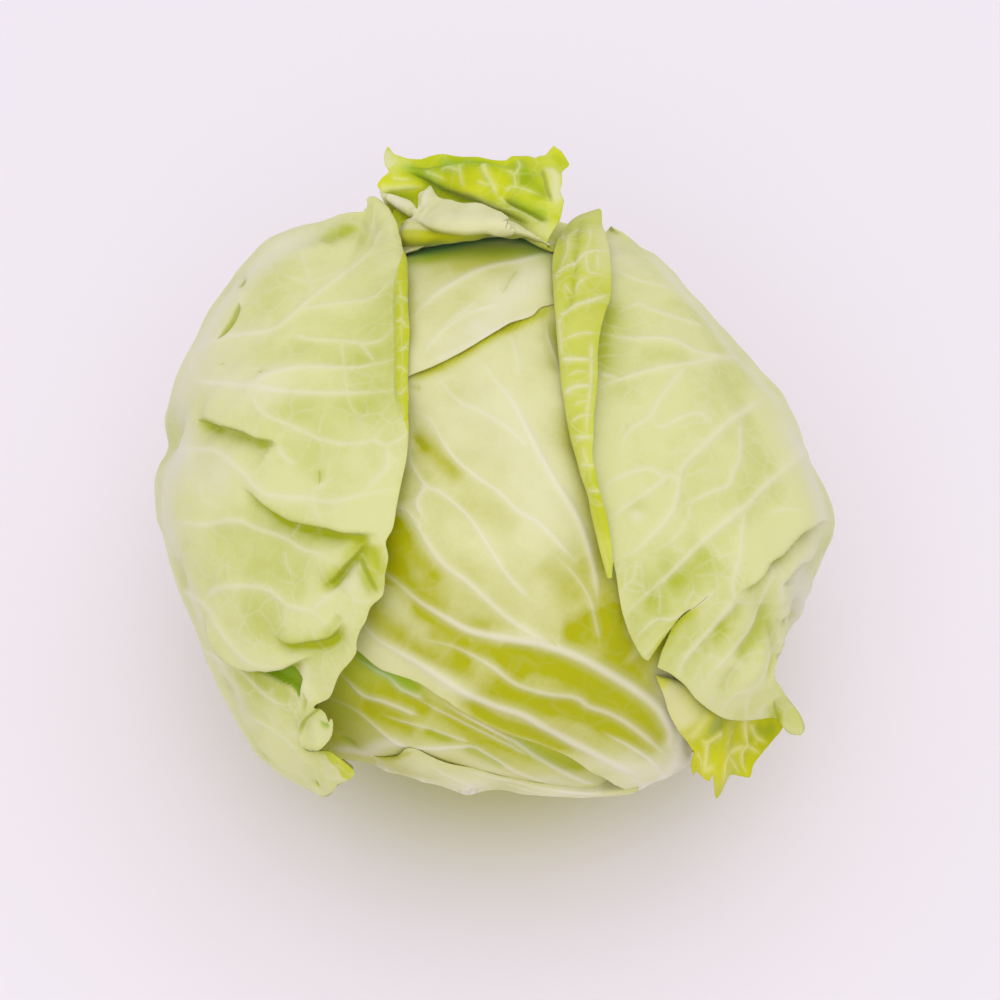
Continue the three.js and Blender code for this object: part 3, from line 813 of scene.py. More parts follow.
def flesh_material(name, flesh, rind, fibre, core_mm, rind_mm):
    """Firm flesh: one colour near the axis, the rind's colour outside, and between them a ring of
    dark spots where fibres end. Soft noise keeps the tone uneven."""
    material, tree = new_material(name)
    place = add(tree, "ShaderNodeTexCoord", "Object")
    flat = add(tree, "ShaderNodeVectorMath", 0, {0: place, 1: (1, 1, 0)}, operation="MULTIPLY")
    out = add(tree, "ShaderNodeVectorMath", "Value", {0: flat}, operation="LENGTH")
    soft = add(
        tree, "ShaderNodeTexNoise", 0,
        {"Vector": place, "Scale": 1 / (UNEVEN_MM * MM), "Detail": 3.0})
    spots = add(
        tree, "ShaderNodeTexVoronoi", "Distance",
        {"Vector": place, "Scale": 1 / (FIBRE_SPACING * MM)})
    spots = add(tree, "ShaderNodeMapRange", 0, {0: spots, 1: 0.15, 2: 0.4, 3: 0.7, 4: 0.0})
    ring, skin = (
        add(tree, "ShaderNodeMapRange", 0,
            {0: out, 1: start * MM, 2: (start + 1) * MM, 3: 0.0, 4: 1.0})
        for start in (core_mm, rind_mm - 1))
    ring = add(tree, "ShaderNodeMath", 0, {0: ring, 1: skin}, operation="SUBTRACT", use_clamp=True)
    ring = add(tree, "ShaderNodeMath", 0, {0: ring, 1: spots}, operation="MULTIPLY")
    soft = add(tree, "ShaderNodeMath", 0, {0: soft, 1: 0.35}, operation="MULTIPLY")
    colour = flesh
    for amount, tone in ((soft, fibre), (ring, fibre), (skin, rind)):
        colour = add(tree, "ShaderNodeMix", 2, {0: amount, 6: colour, 7: tone}, data_type="RGBA")
    bump = add(tree, "ShaderNodeBump", 0, {"Height": soft, "Strength": 0.4, "Distance": 0.3 * MM})
    body = add(
        tree, "ShaderNodeBsdfPrincipled", 0,
        {"Base Color": colour, "Normal": bump, "Roughness": 0.6, "IOR": LEAF_IOR,
         "Specular IOR Level": 0.4})
    add(tree, "ShaderNodeOutputMaterial", 0, {"Surface": body})
    print("material", name, "with", len(tree.nodes), "nodes")
    return material


# %% Cut stalk
STALK_RADIUS, _, STALK_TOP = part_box("cut_stem")[1]
profile = np.array([
    [0.04, 0.0], [0.5, 0.0], [0.92, 0.0], [0.985, 0.02], [0.99, 0.1], [0.965, 0.45], [0.93, 0.75],
    [0.9, 0.96], [0.84, 1.0], [0.04, 1.0]])
RINGS = [8, 8, 4, 4, 18, 14, 8, 3, 6]
SIDES = 180
BULGE, BULGE_SIZE = 0.25 * MM, 5 * MM
SAW_MARK, SAW_TURNS = 0.08 * MM, 90
steps = rows_between(RINGS)
line = np.stack([np.interp(steps, np.arange(len(profile)), profile[:, axis]) for axis in (0, 1)], 1)
bearing = np.arange(SIDES) / SIDES * 2 * np.pi
across = np.tile(line[:, :1] * STALK_RADIUS, (1, len(bearing)))
up = np.tile(line[:, 1:] * STALK_TOP, (1, len(bearing)))
surface = np.stack([across * np.cos(bearing), across * np.sin(bearing), up], -1)
wall = np.clip(np.minimum(line[:, 1:], 1 - line[:, 1:]) * 12, 0, 1)
cut = np.clip((0.9 - line[:, :1]) * 20, 0, 1) * (line[:, 1:] < 0.01)
across = across + BULGE * wall * (wander(surface, BULGE_SIZE, seed=31) - 0.6)
up = up + SAW_MARK * cut * (1 + np.sin(line[:, :1] * SAW_TURNS)) / 2
stalk_flesh = flesh_material(
    "cut_stalk_flesh", "#E9E2C2", "#C9D08A", "#C2B588", core_mm=10.5, rind_mm=14)
ringed_piece("cut_stem", across, up, stalk_flesh)

# %% Packed heart
# Each leaf step rises round the heart and drops back over its last 8 percent.
LEAF_STEPS = 6
LEAF_EDGE = 0.8 * MM
HEART_ROWS, HEART_SIDES = 90, 160
rise = np.linspace(-0.995, 0.995, HEART_ROWS)[:, None] * np.pi / 2
around = np.arange(HEART_SIDES)[None] / HEART_SIDES
turn = (around * LEAF_STEPS + 0.9 * np.sin(rise)) % 1
overlap = turn * np.clip((1 - turn) / 0.08, 0, 1) - 0.6
stretch = HEART_SHARE * (1 + LEAF_EDGE * np.cos(rise) * overlap / HEAD_RADIUS)
across = HEAD_RADII[0] * stretch * np.cos(rise)
up = HEAD_CENTRE[2] + HEAD_RADII[2] * stretch * np.sin(rise) * np.ones_like(around)
heart_leaf = flesh_material(
    "pale_inner_leaf", "#E6E4A8", "#E2E29C", "#CCD070", core_mm=60, rind_mm=64)
ringed_piece("packed_heart", across, up, heart_leaf)

# %% [markdown]
# ## The left wrapper
# The left wrapper comes up from the stalk round the left side and lies over the front. Its margin
# curls down to the head in a narrow brighter band, its lower half is pleated where the leaf was
# squeezed, and it is torn in a few places. The net rows run from the stalk to the free margin.

# %% Left wrapper: large form
LEFT_NET = [
    placed([225, 232, 239, 246, 254, 262, 270, 278, 287, 296], -84, 4),
    placed([218, 227, 236, 245, 254, 263, 272, 282, 292, 303], -77, 4.5),
    placed([208, 218, 228, 240, 250, 263, 276, 289, 303, 316], -50, 5.5),
    placed([201, 212, 225, 239, 249, 263, 277, 293, 311, 325],
           [0, -2, -5, -9, -12, -17, -22, -28, -33, -37], [9, 12, 16, 15, 14, 12, 10, 9, 10, 11]),
    drawn("366,213 290,229 243,263 199,337 168,400 155,495 170,556 208,660 259,757 322,797",
          [6, 7, 8, 8, 8, 8, 8, 8, 8, 8]),
    drawn("365,206 306,239 256,279 208,350 184,400 174,492 187,567 217,650 272,744 327,796",
          [8.5, 20, 21, 18, 17, 14.5, 12, 10, 11, 12]),
    drawn("366,200 331,246 286,290 252,347 236,399 228,484 237,562 257,645 286,737 333,796",
          [10.5, 16, 17.5, 16.5, 15.5, 13, 10.5, 9, 10, 12]),
    drawn("370,197 353,246 328,292 306,345 296,398 292,473 293,556 301,640 301,728 343,794",
          [12, 13, 13, 12.5, 11.5, 9.5, 8, 7.5, 9, 11]),
    drawn("376,198 371,240 360,290 352,343 350,397 350,464 346,550 338,633 315,716 350,790",
          [12, 10.5, 8.5, 7.5, 7, 6.5, 6.5, 7, 9, 11]),
    drawn("384,204 394,238 398,290 397,342 397,396 402,455 384,538 366,612 328,706 356,784",
          [12, 10, 8, 7, 7, 6.5, 6, 7, 9, 11]),
    drawn("392,206 404,236 412,284 417,338 417,394 415,452 398,538 380,612 340,706 364,776",
          [12, 9, 5, 3.5, 3.5, 4, 5.5, 7, 9, 11]),
]
left = Leaf(LEFT_NET, row_steps=[3, 8, 16, 16, 7, 20, 19, 19, 17, 7], column_steps=330)
left.sway(0.5, 32, seed=1)
left.sway(0.12, 10, seed=2)
# The widest line dips and swells where the pleats cross it.
for places, width, relief in (
        ([(3.2, 0.55), (3.9, 0.55), (4.6, 0.55)], 5, -1.0),
        ([(3.2, 1.45), (3.9, 1.45), (4.6, 1.45)], 5, 1.5),
        ([(3.2, 2.35), (3.9, 2.35), (4.6, 2.35)], 6, -1.6),
        ([(2.6, 4.5), (3.4, 4.5), (4.0, 4.5), (4.5, 4.42), (4.9, 4.3)], 6, -3.0)):
    left.stroke(left.grown(places), width, relief=relief)

# %% Left wrapper: margin and tears
left.trim(
    "363,213 366,208 367,202 365,197 363,193 364,188 368,187 371,190 371,195 377,199 385,207 392,219 "
    "398,233 402,247 406,257 408,276 410,318 411,352 411,385 409,415 409,431 407,456 402,480 397,505 "
    "393,528 386,542 388,557 384,573 383,590 381,597 370,607 365,621 360,630 356,642 356,652 350,662 "
    "339,675 331,695 326,700 315,706 324,715 329,723 331,716 333,724 333,734 328,742 318,745 307,743 "
    "301,741 304,748 310,752 320,752 331,752 339,757 348,764 356,772 351,778 344,782 337,785 333,792 "
    "327,796 320,795",
    "320,860 60,860 60,100 290,100 342,214 355,213")
left.pit("240,670 246,666 262,665 274,666 284,668 296,674 302,678 301,699 294,692 288,688 279,686 "
         "263,679 248,674", 2.2)
# The green and lime strokes in the slits are painted shade inside the cuts.
left.draw("""
    slit half=0.7 depth=0.6: 194,419 207,420 222,425
    stroke 1.3 lime=0.9 green=0.3: 198,422 208,424 218,427
    slit half=0.8 depth=0.8: 244,274 242,282 239,292
    slit half=1.1 depth=1.2: 240,302 236,315 229,327 218,341
    slit half=0.4: 312,781 315,785 317,789
    slit half=0.3 depth=0.1 strength=0.7: 258,371 261,373 264,374
    slit half=0.3 depth=0.1 strength=0.5: 223,362 222,366
    stroke 0.9 relief=0.5 cream=0.5: 240,290 241,298 239,308 232,321
    stroke 0.8 green=0.7 lime=0.5: 244,274 242,282 239,292
    stroke 1.0 green=0.9 lime=0.5: 238,306 235,316 228,328 220,339
""")

# %% Left wrapper: pleats
# Each fold greens its low side with painted shade. The green and dark strokes are painted shade in
# the hollows beside the pleats, in the slits low down and where the top of the leaf turns away.
left.draw("""
    fold 4 7 lap=0.9 green=0.45: 193,419 207,419 226,424 246,430 260,437 274,440 279,448
    fold 4 8 lap=1.0 green=0.7: 239,484 253,492 269,504 288,516 305,521 331,526 345,530 365,532 \
        382,533
    fold 3.6 6 lap=0.3 green=0.6: 318,588 332,578 344,564 356,551 366,536
    fold 3.2 6 lap=0.6 green=0.8: 272,631 288,637 300,639 322,637 332,633 346,617
    fold 5 8 lap=1.2 green=0.8: 205,608 212,626 222,647 239,662 260,666 281,664 301,658 318,654
    fold 3 4 lap=0.5 green=0.7: 300,742 308,744 321,746 332,744
    fold -2.2 5 lap=0.2 green=0.8: 358,551 366,567 373,581 380,596
    stroke 2.0 relief=-1.6 green=0.35 lime=0.3: 365,534 357,543 345,563 333,577 322,585
    stroke 2.4 lime=0.8 relief=-0.6: 372,545 374,560 378,575
    stroke 1.4 relief=-1.0 green=0.4: 340,616 332,625 325,634
    stroke 3.0 relief=1.0 cream=0.3: 356,560 354,578 345,592
    stroke 1.0 dark=0.9 lime=0.6: 306,744 314,748 323,747
    stroke 0.7 relief=-0.8 dark=0.5 lime=0.6: 320,723 325,726 329,725
    stroke 2.6 relief=0.9 cream=0.3: 302,660 303,680 304,700
    stroke 0.8 relief=-0.7 green=0.6: 303,692 306,700 304,708
    fold -1.6 4 lap=0.1 green=0.3: 326,704 317,712 306,722 302,736
    stroke 4.0 relief=-0.8 green=0.75: 354,224 344,230 334,234 320,240
    stroke 1.2 relief=-0.5 green=0.6: 222,676 228,688 232,695
    stroke 1.2 relief=-0.4 green=0.5: 246,734 256,748 270,762
""")

# %% Left wrapper: veins
left.fan(4.6, 4.1, [0.6, 1.4, 2.3, 3.3, 4.6, 5.4, 6.3, 7.1, 8.0])
left.veins("""
    193,354 227,337 270,330 296,313 322,292 345,275 365,259 375,247 374,228 373,216
    253,385 279,373 305,369 351,367 374,361 394,356
    193,381 247,387 279,392 322,395 365,392 395,388
    169,451 207,449 222,454 241,470 253,482 270,492 293,496 308,497 336,501 363,496 396,489
    177,521 202,525 233,520 253,528 283,538 301,549 322,554 331,563
    205,597 219,588 250,586 274,592 288,604 312,610 327,621
    177,590 202,602 219,618 238,642 257,656 284,661
    200,647 218,660 234,671 251,687 269,699 282,705 299,703
""", 1.7, 1.2, strength=0.42)
left.veins("""
    293,312 322,308 365,301 379,292 391,278
    293,335 314,340 360,342 379,338 396,326
    360,342 366,350 374,361
    375,247 380,238 385,232
    253,395 267,414 296,428 322,440 348,444 372,440 391,418
    372,440 386,445 401,438 406,433
    387,446 388,465 379,478 363,494
    277,446 288,460 296,463
    249,719 263,725 278,735 286,738 297,749 306,758
    313,608 336,590 352,567
""", 1.3, 0.9, strength=0.34)
left.veins("""
    281,273 300,280 315,281 338,273 346,262
    246,272 262,262 281,250
    388,465 394,461 401,458
    308,498 319,488 336,475
    308,497 315,504 327,521
    226,561 228,572 230,583
    282,550 288,570 300,578
    286,606 288,616 290,624
    301,250 312,290 305,300
    296,523 290,532 288,538
    341,340 352,408 380,414
    270,689 269,695 270,700
    324,778 334,779 342,777
    202,483 206,500 222,508
    352,597 360,603 372,600
""", 0.9, 0.6, strength=0.24, rise=0.25)

# %% Left wrapper: rolled margin band
left.draw("""
    fold -0.8 3 lap=0.1 green=0.2 line=0.6: 406,259 399,268 396,290 396,340 396,385 400,408 405,425
""")
left.patch("403,252 398,268 396,290 396,340 396,388 401,410 408,432 420,432 420,252")
left.veins("""
    396,362 403,363 411,370
    397,294 404,296 410,302
    396,320 402,318 408,326
    398,347 404,346 410,340
    397,393 404,389 410,382
""", 0.8, 0.8, strength=0.34, rise=0.15)
left.veins("""
    400,280 403,300 402,330 404,362 402,390 405,415
    397,378 404,378 410,374
""", 0.4, 0.4, strength=0.2, rise=0.1)

# %% Left wrapper: tints
# The wide pale wax strokes along the outer edge are the wax together with painted sheen, where the
# leaf turns away from the eye.
left.draw("""
    stroke 7 cream=0.45 relief=0.6: 172,376 215,378 255,385 290,393
    stroke 6 cream=0.3: 200,350 240,335 275,322
    stroke 9 bloom=0.6: 177,385 173,410 175,450 166,480 166,520 180,560
    stroke 7 bloom=0.6: 320,226 265,258 235,290 212,330 190,370
    stroke 4 bloom=0.5: 184,575 200,622 222,672 252,732
""")
left.spot("168,434", 7.5, relief=-2.2)
left.spot("178,572", 6, relief=-1.6)
left.patch("322,751 331,750 340,756 349,763 357,772 351,779 342,777 339,770 331,763")
left.patch("373,205 372,196 366,198 361,192 364,185 370,186")
# The green strokes just below the pleats are painted shade on their low sides, and the wax and green
# stroke beside the knob is painted shade in the fold there. The broad wax stroke is the wax together
# with painted sheen.
left.draw("""
    stroke 7 bloom=0.35: 176,450 205,470 235,475
    stroke 2.2 bloom=0.25 green=0.3: 372,215 376,232 380,244
    stroke 9 green=0.12: 345,262 380,290 385,330
    stroke 6 green=0.35: 270,410 330,405 385,405
    stroke 5 green=0.3: 290,355 340,355 385,350
    stroke 4.5 green=0.25: 300,320 340,322 385,312
    stroke 6 green=0.2: 330,470 362,470 378,455
    stroke 3.0 green=0.35: 268,508 300,526 340,538 356,540
    stroke 3.5 green=0.35: 250,620 300,640 335,645
    stroke 3.5 green=0.3: 222,655 240,672 262,690 290,700
    stroke 6 green=0.25: 245,556 280,570 310,575
    stroke 5 green=0.25: 240,600 262,605 280,618
    slit half=0.25 depth=0.15 strength=0.8: 318,468 320,476 320,484
""")
finish_leaf(left, "wrapper_left", wrapper_skin)

# %% [markdown]
# ## The right wrapper
# The right wrapper mirrors the left one, but its free margin is rolled outwards and lies back
# over the blade, so a band of its inner side shows with its own bright vein net. The net's last
# two rows make that roll. Low down the blade is torn, and its lower lobe is pleated.

# %% Right wrapper: large form
RIGHT_NET = [
    placed([146, 138, 130, 121, 112, 103, 95, 87, 79, 70], -84, 4),
    placed([150, 141, 132, 122, 112, 103, 94, 85, 76, 66], -77, 5),
    placed([160, 149, 138, 126, 115, 104, 92, 80, 67, 54], -50, 6),
    placed([163, 150, 137, 122, 112, 99, 85, 75, 62, 47],
           [0, -2, -6, -10, -13, -18, -22, -27, -33, -38], [9, 8, 7.5, 7, 7, 8, 9, 8, 9, 12]),
    drawn("604,222 650,250 702,304 753,361 786,396 812,460 834,525 819,575 784,642 812,742", 5),
    drawn("601,226 640,253 688,305 736,361 766,398 792,460 806,523 792,578 771,646 795,745",
          [10, 9, 8, 8, 9, 11, 14, 12, 11, 14]),
    drawn("594,229 620,256 658,305 696,358 716,398 737,458 751,520 746,578 741,650 760,742",
          [9, 8, 7, 7.5, 9, 10, 11, 11, 11, 13]),
    drawn("586,230 599,259 624,305 650,355 662,397 677,455 695,518 700,577 708,652 724,734",
          [8.5, 6.5, 5.8, 5.8, 6, 6.4, 6.8, 7.4, 8, 10.5]),
    drawn("574,231 577,261 587,305 603,352 610,396 622,452 643,516 657,576 675,652 688,716",
          [8, 5.5, 4.5, 4.2, 4.2, 4.2, 4.8, 5.4, 7, 9.5]),
    drawn("560,235 554,262 556,305 561,350 566,395 577,450 596,515 610,572 632,652 652,690",
          [8.5, 5.6, 4.2, 3.6, 3.4, 3.3, 3.6, 4.2, 6, 9]),
    drawn("574,218 575,252 578,303 576,348 578,394 583,449 598,513 611,565 632,652 652,690",
          [11.5, 9.6, 8.2, 7.6, 7.4, 6.9, 6.2, 5.6, 6.8, 9.5]),
    drawn("604,206 610,245 613,292 602,345 598,395 597,448 606,510 616,562 632,652 652,690",
          [12, 10.4, 9, 8.4, 8.2, 7.8, 7.4, 6.8, 7.4, 10]),
]
right = Leaf(
    RIGHT_NET, row_steps=[3, 8, 16, 16, 6, 15, 17, 17, 17, 8, 13], column_steps=330, bent=9)
right.sway(0.5, 32, seed=3)
right.sway(0.12, 10, seed=4)
for places, width, relief in (
        ([(3.3, 0.85), (4.0, 0.85), (4.7, 0.85)], 4, -1.2),
        ([(4.0, 4.4), (4.0, 5.2), (4.0, 6.0)], 6, -1.1),
        ([(3.4, 6.65), (4.0, 6.65), (4.6, 6.65)], 5, -1.8)):
    right.stroke(right.grown(places), width, relief=relief)

# %% Right wrapper: margins and the tear
# In order: the rolled band, the blade, the hidden part under the pleated corner, the tear, and the
# top of the blade beside the band.
blade, band = (3.5, 9), (9.3, 11)
rolled = right.row_of > 9.01
right.trim(
    "552,246 560,236 570,222 580,215 591,208 601,209 602,225 606,238 609,252 611,274 611,296 606,310 "
    "601,329 599,346 598,364 597,389 594,415 593,441 593,459 600,492 607,516 611,538 613,554 613,566 "
    "612,578",
    "500,580 500,245", where=rolled)
right.trim(
    "612,560 616,573 619,593 623,614 631,636 643,657 650,662 661,669 673,675 678,679 687,687 694,697 "
    "704,706 716,714 728,719 748,720 761,720 775,718 782,725 790,732 801,733 804,728 801,718 796,707 "
    "782,687 774,676 777,656 782,642",
    "900,640 900,100 540,100 540,560", where=~rolled)
right.trim(
    "758,900 760,720 763,690 768,662 777,646 784,638 840,632",
    "960,640 960,-60 -60,-60 -60,900", where=right.row_of < 4.6)
right.hole("713,591 704,597 696,606 688,612 679,621 673,632 663,646 653,658 648,664 659,671 666,654 "
           "672,642 677,630 689,614 697,606 704,599")
right.trim(
    "618,150 616,214 609,228 600,234 590,237 540,240",
    "440,240 440,1000 1000,1000 1000,150", where=(right.row_of > 3.6) & ~rolled)

# %% Right wrapper: folds
# Each fold greens its low side with painted shade, and the green in the strokes here is painted shade
# in the valleys of the pleats.
right.draw("""
    fold 5 7 lap=1.1 green=0.8: 736,592 747,584 756,573 766,558 776,552 789,538 796,530 805,525 \
        817,521 834,521
    fold 3.6 5 lap=0.8 green=0.6: 784,586 787,578 792,569 805,559 821,551
    fold 2.4 4 lap=0.4 green=0.5: 784,618 790,612 797,607
    stroke 3.0 relief=0.8: 776,660 782,630 782,595 778,560
    stroke 3.0 relief=-0.8 green=0.15: 790,660 794,630 794,595
    fold -2 6 lap=0.2 green=0.0 line=0.0: 696,606 684,617 674,632 660,651 650,663
    fold -1.5 3 lap=0.2 green=0.6: 776,700 777,710 783,724
    stroke 3.2 relief=-1.4 green=0.45: 768,605 762,625 750,645 738,660
    stroke 2.0 relief=-1.4 green=0.35: 819,560 808,578 799,600 793,626
    stroke 1.6 relief=-1.0 green=0.25: 824,572 815,590 807,612
    stroke 2.6 relief=-1.0 green=0.3: 742,600 735,615 718,635
    stroke 2.2 relief=-0.8 green=0.3: 735,668 728,678 722,690
    stroke 2.4 relief=0.9: 762,640 757,665 745,684
    stroke 1.3 lime=0.9 green=0.4: 779,712 777,718 780,724
    stroke 1.6 relief=-1.0 green=0.3: 770,620 772,650 768,680
""", blade)

# %% Right wrapper: veins of the blade
right.fan(4.4, 4.7, [0.8, 1.9, 2.9, 3.9, 5.7, 6.6, 7.4, 8.2])
right.veins("""
    764,398 746,410 726,424 705,444 685,463 678,476 675,503 665,521 646,541 635,552 618,558
    808,446 790,463 766,485 746,506 734,515 706,538 689,554 665,579 640,601 625,616
    740,357 729,356 705,361 690,366 660,370 629,376 609,382 597,389
    729,356 705,355 686,350 667,343 636,338 602,330
    777,656 782,626 782,593 779,563
    734,599 719,619 696,647 684,664 679,677
""", 1.8, 1.2, part=blade, strength=0.45)
right.veins("""
    746,508 741,531 736,558 731,583 734,599 744,603 759,604
    671,291 654,285 633,279 616,270 610,268
    702,327 674,319 650,311 638,304 620,310
    686,368 673,382 659,400 648,419 631,429 623,441 621,458
    712,424 697,414 674,422 659,429 648,419
    742,419 740,444 739,460 733,472 729,485 713,491 693,501 677,506
    678,475 666,477 643,470 612,481 602,490
    668,477 646,493 623,508 611,520
    776,560 772,579 761,606 749,631 726,657 709,674 699,692
    782,626 769,657 762,674 753,687 736,692 723,705 719,713
    617,377 607,374 598,372
    716,589 699,603 684,612 670,620 659,619 641,634 638,641
""", 1.3, 0.9, part=blade, strength=0.4, rise=0.4)
right.veins("""
    673,545 679,550 689,554
    688,505 688,518 673,541 656,549
    638,560 633,579 623,588
    633,580 640,585 648,588
    661,588 661,609 659,619
    644,657 664,634 680,621
    726,692 728,680 739,664 757,651 769,656
    749,687 747,704 746,718
    800,444 788,456 778,465
    694,590 688,600 684,612
    716,560 722,556 736,552
    770,512 786,508 800,512
    709,655 722,660 727,656
    766,705 760,710 762,718
""", 0.9, 0.6, part=blade, strength=0.25, rise=0.3)

# %% Right wrapper: veins of the rolled band
right.veins("""
    557,281 562,272 576,265 587,255 607,252
    559,319 574,307 592,300 611,293
    562,360 575,360 595,359
    566,395 576,388 595,386
""", 1.4, 1.0, part=band, strength=0.5, rise=0.3)
right.veins("""
    554,237 567,238 581,224
    567,238 568,250 560,276
    585,257 587,274 594,275 605,276
    576,293 579,284 587,278
    566,340 583,333 599,332
    573,422 581,417 593,415
    577,438 592,438
    581,465 595,466
    588,490 600,492
    592,340 591,372 590,389 587,415 586,440
    559,318 562,340 563,358
""", 0.8, 0.6, part=band, strength=0.4, rise=0.2)
right.veins("""
    590,230 589,242 585,256
    596,256 597,266 594,275
    565,285 569,292 575,292
    575,405 584,402 592,405
    570,376 580,372 590,374
    583,448 585,458 590,465
""", 0.7, 0.5, part=band, strength=0.3, rise=0.15)

# %% Right wrapper: tints
right.fields["lime"] += np.where(rolled, 0.68, 0.0)
# Painted shade and light on the band's two strips: the left strip and the crease beside it are
# greened as painted shade, and the right strip is paled as painted light.
right.draw("""
    stroke 1.0 relief=-0.8 green=0.5: 580,222 577,240 576,262 573,290 566,315
    stroke 4 green=0.3: 562,240 562,262 564,285
    stroke 3 cream=0.25: 600,225 604,250 604,275
    stroke 2.2 lime=0.2 green=0.2: 592,470 601,505 610,540
""", band)
# The wide pale wax strokes along the outer edge are the wax together with painted sheen. The green
# strokes are painted shade beside the rolled band and in the hollows of the blade.
right.draw("""
    stroke 2.0 lime=0.9 green=0.3: 697,608 684,618 672,634 655,655
    stroke 5 bloom=0.25 green=0.15: 611,240 614,262 622,262 650,268
    stroke 2.5 green=0.45: 613,300 604,335 601,370
    stroke 5.5 green=0.6: 668,585 690,572 712,552
    stroke 3.5 green=0.45: 646,600 660,606 665,622
    stroke 4 green=0.25: 642,615 636,626 648,640
    stroke 4 green=0.3: 640,352 670,358 690,360
    stroke 4 green=0.2: 650,300 690,310 700,320
    stroke 3 green=0.4: 700,645 712,638 725,622
    stroke 8 bloom=0.75: 795,560 805,590 795,622
    stroke 8 bloom=0.6: 780,420 802,460 820,505 818,540
    stroke 3.4 bloom=0.5: 650,256 700,312 745,362 785,412
    stroke 3 lime=0.3: 800,705 796,725 790,729
""", blade)
right.spot("636,505", 2.2, blade, green=0.4)
right.spot("637,516", 1.6, blade, cream=0.6, relief=0.2)
right.spot("730,690", 4, blade, green=0.2)
finish_leaf(right, "wrapper_right", wrapper_skin)

# %% [markdown]
# ## The front leaf of the tight head
# The broad front leaf spreads from its thick white base at the lower right. Its ribs stand out as
# cream ridges with deep yellow-green furrows between them, deepest where other leaves shade it.

# %% Front leaf: large form
FRONT_NET = [
    placed([20, 27, 36, 45, 55, 66], -84, 0),
    placed([12, 22, 33, 44, 56, 70], -77, 0.2),
    placed([5, 18, 32, 46, 60, 75], -55, 0.8),
    drawn("624,788 651,781 678,768 689,742 712,712 740,690", [3, 3, 3, 3, 2.5, 1.5]),
    drawn("562,768 590,734 624,694 658,655 690,620 725,590",
          [-1.5, 0, 1, 1, 0.6, 0.4]),
    drawn("498,748 521,690 555,630 590,580 625,530 665,480",
          [-3, -1.5, 0, 0.4, 0.4, 0.4]),
    drawn("428,708 448,640 485,570 530,505 575,450 620,390",
          [-3, -1.5, 0, 0.4, 0.4, 0.3]),
    drawn("358,664 380,590 416,515 465,435 515,370 565,315",
          [-3, -1.5, 0, 0.4, 0.3, 0.2]),
    drawn("300,602 322,520 355,435 402,360 452,300 505,245",
          [-3, -1.5, -0.2, -0.2, -0.2, -0.4]),
]
front = Leaf(FRONT_NET, row_steps=[3, 6, 10, 22, 26, 28, 28, 26], column_steps=240)
front.sway(0.35, 26, seed=5)
front.sway(0.12, 9, seed=6)
front.trim(
    "296,600 338,630 356,646 369,658 381,668 395,674 410,680 422,686 434,694 446,700 456,707 474,718 "
    "490,726 504,733 521,739 538,745 556,752 574,760 589,772 611,781 640,800",
    "900,860 900,100 296,100", where=front.row_of > 2.8)

# %% Front leaf: ribs
front.fan(2.8, 2.9, [0.6, 1.4, 2.2, 3.6, 4.3], reach_row=3.4, widths=(6.0, 4.5))
front.veins("""
    669,745 668,728 658,708 635,690 587,661 545,644 519,640 490,636 465,629 436,612 417,600 400,586 \
        384,574
    640,774 599,755 562,736 526,714 490,702 456,687 417,663 378,639 362,624
""", 2.6, 1.6, strength=0.7, rise=0.6)
front.veins("""
    553,644 533,634 509,619 487,600 468,582 440,560 420,530 404,512
    664,752 635,729 612,716 589,707 575,697 538,690 514,682 490,665 456,648 424,640
    598,600 592,560 579,520 553,478 532,440 512,402 495,381 484,364
""", 1.7, 1.1, strength=0.5, rise=0.5)
front.veins("""
    575,560 541,525 518,511 499,492 472,473 453,456 440,437 430,420 416,411
    530,600 505,572 478,530 465,513 440,492 426,486 409,458 413,438
    422,530 410,514 396,505
    426,487 417,503 425,520
    660,770 650,758 628,745 604,734
""", 1.1, 0.8, strength=0.5, rise=0.4)
front.veins("""
    566,396 560,370 549,337 545,318
    530,450 509,429 484,413 461,402 447,389 434,371
    518,376 516,352 510,334
    600,640 590,600 575,575 560,560
""", 1.0, 0.7, strength=0.3, rise=0.3)

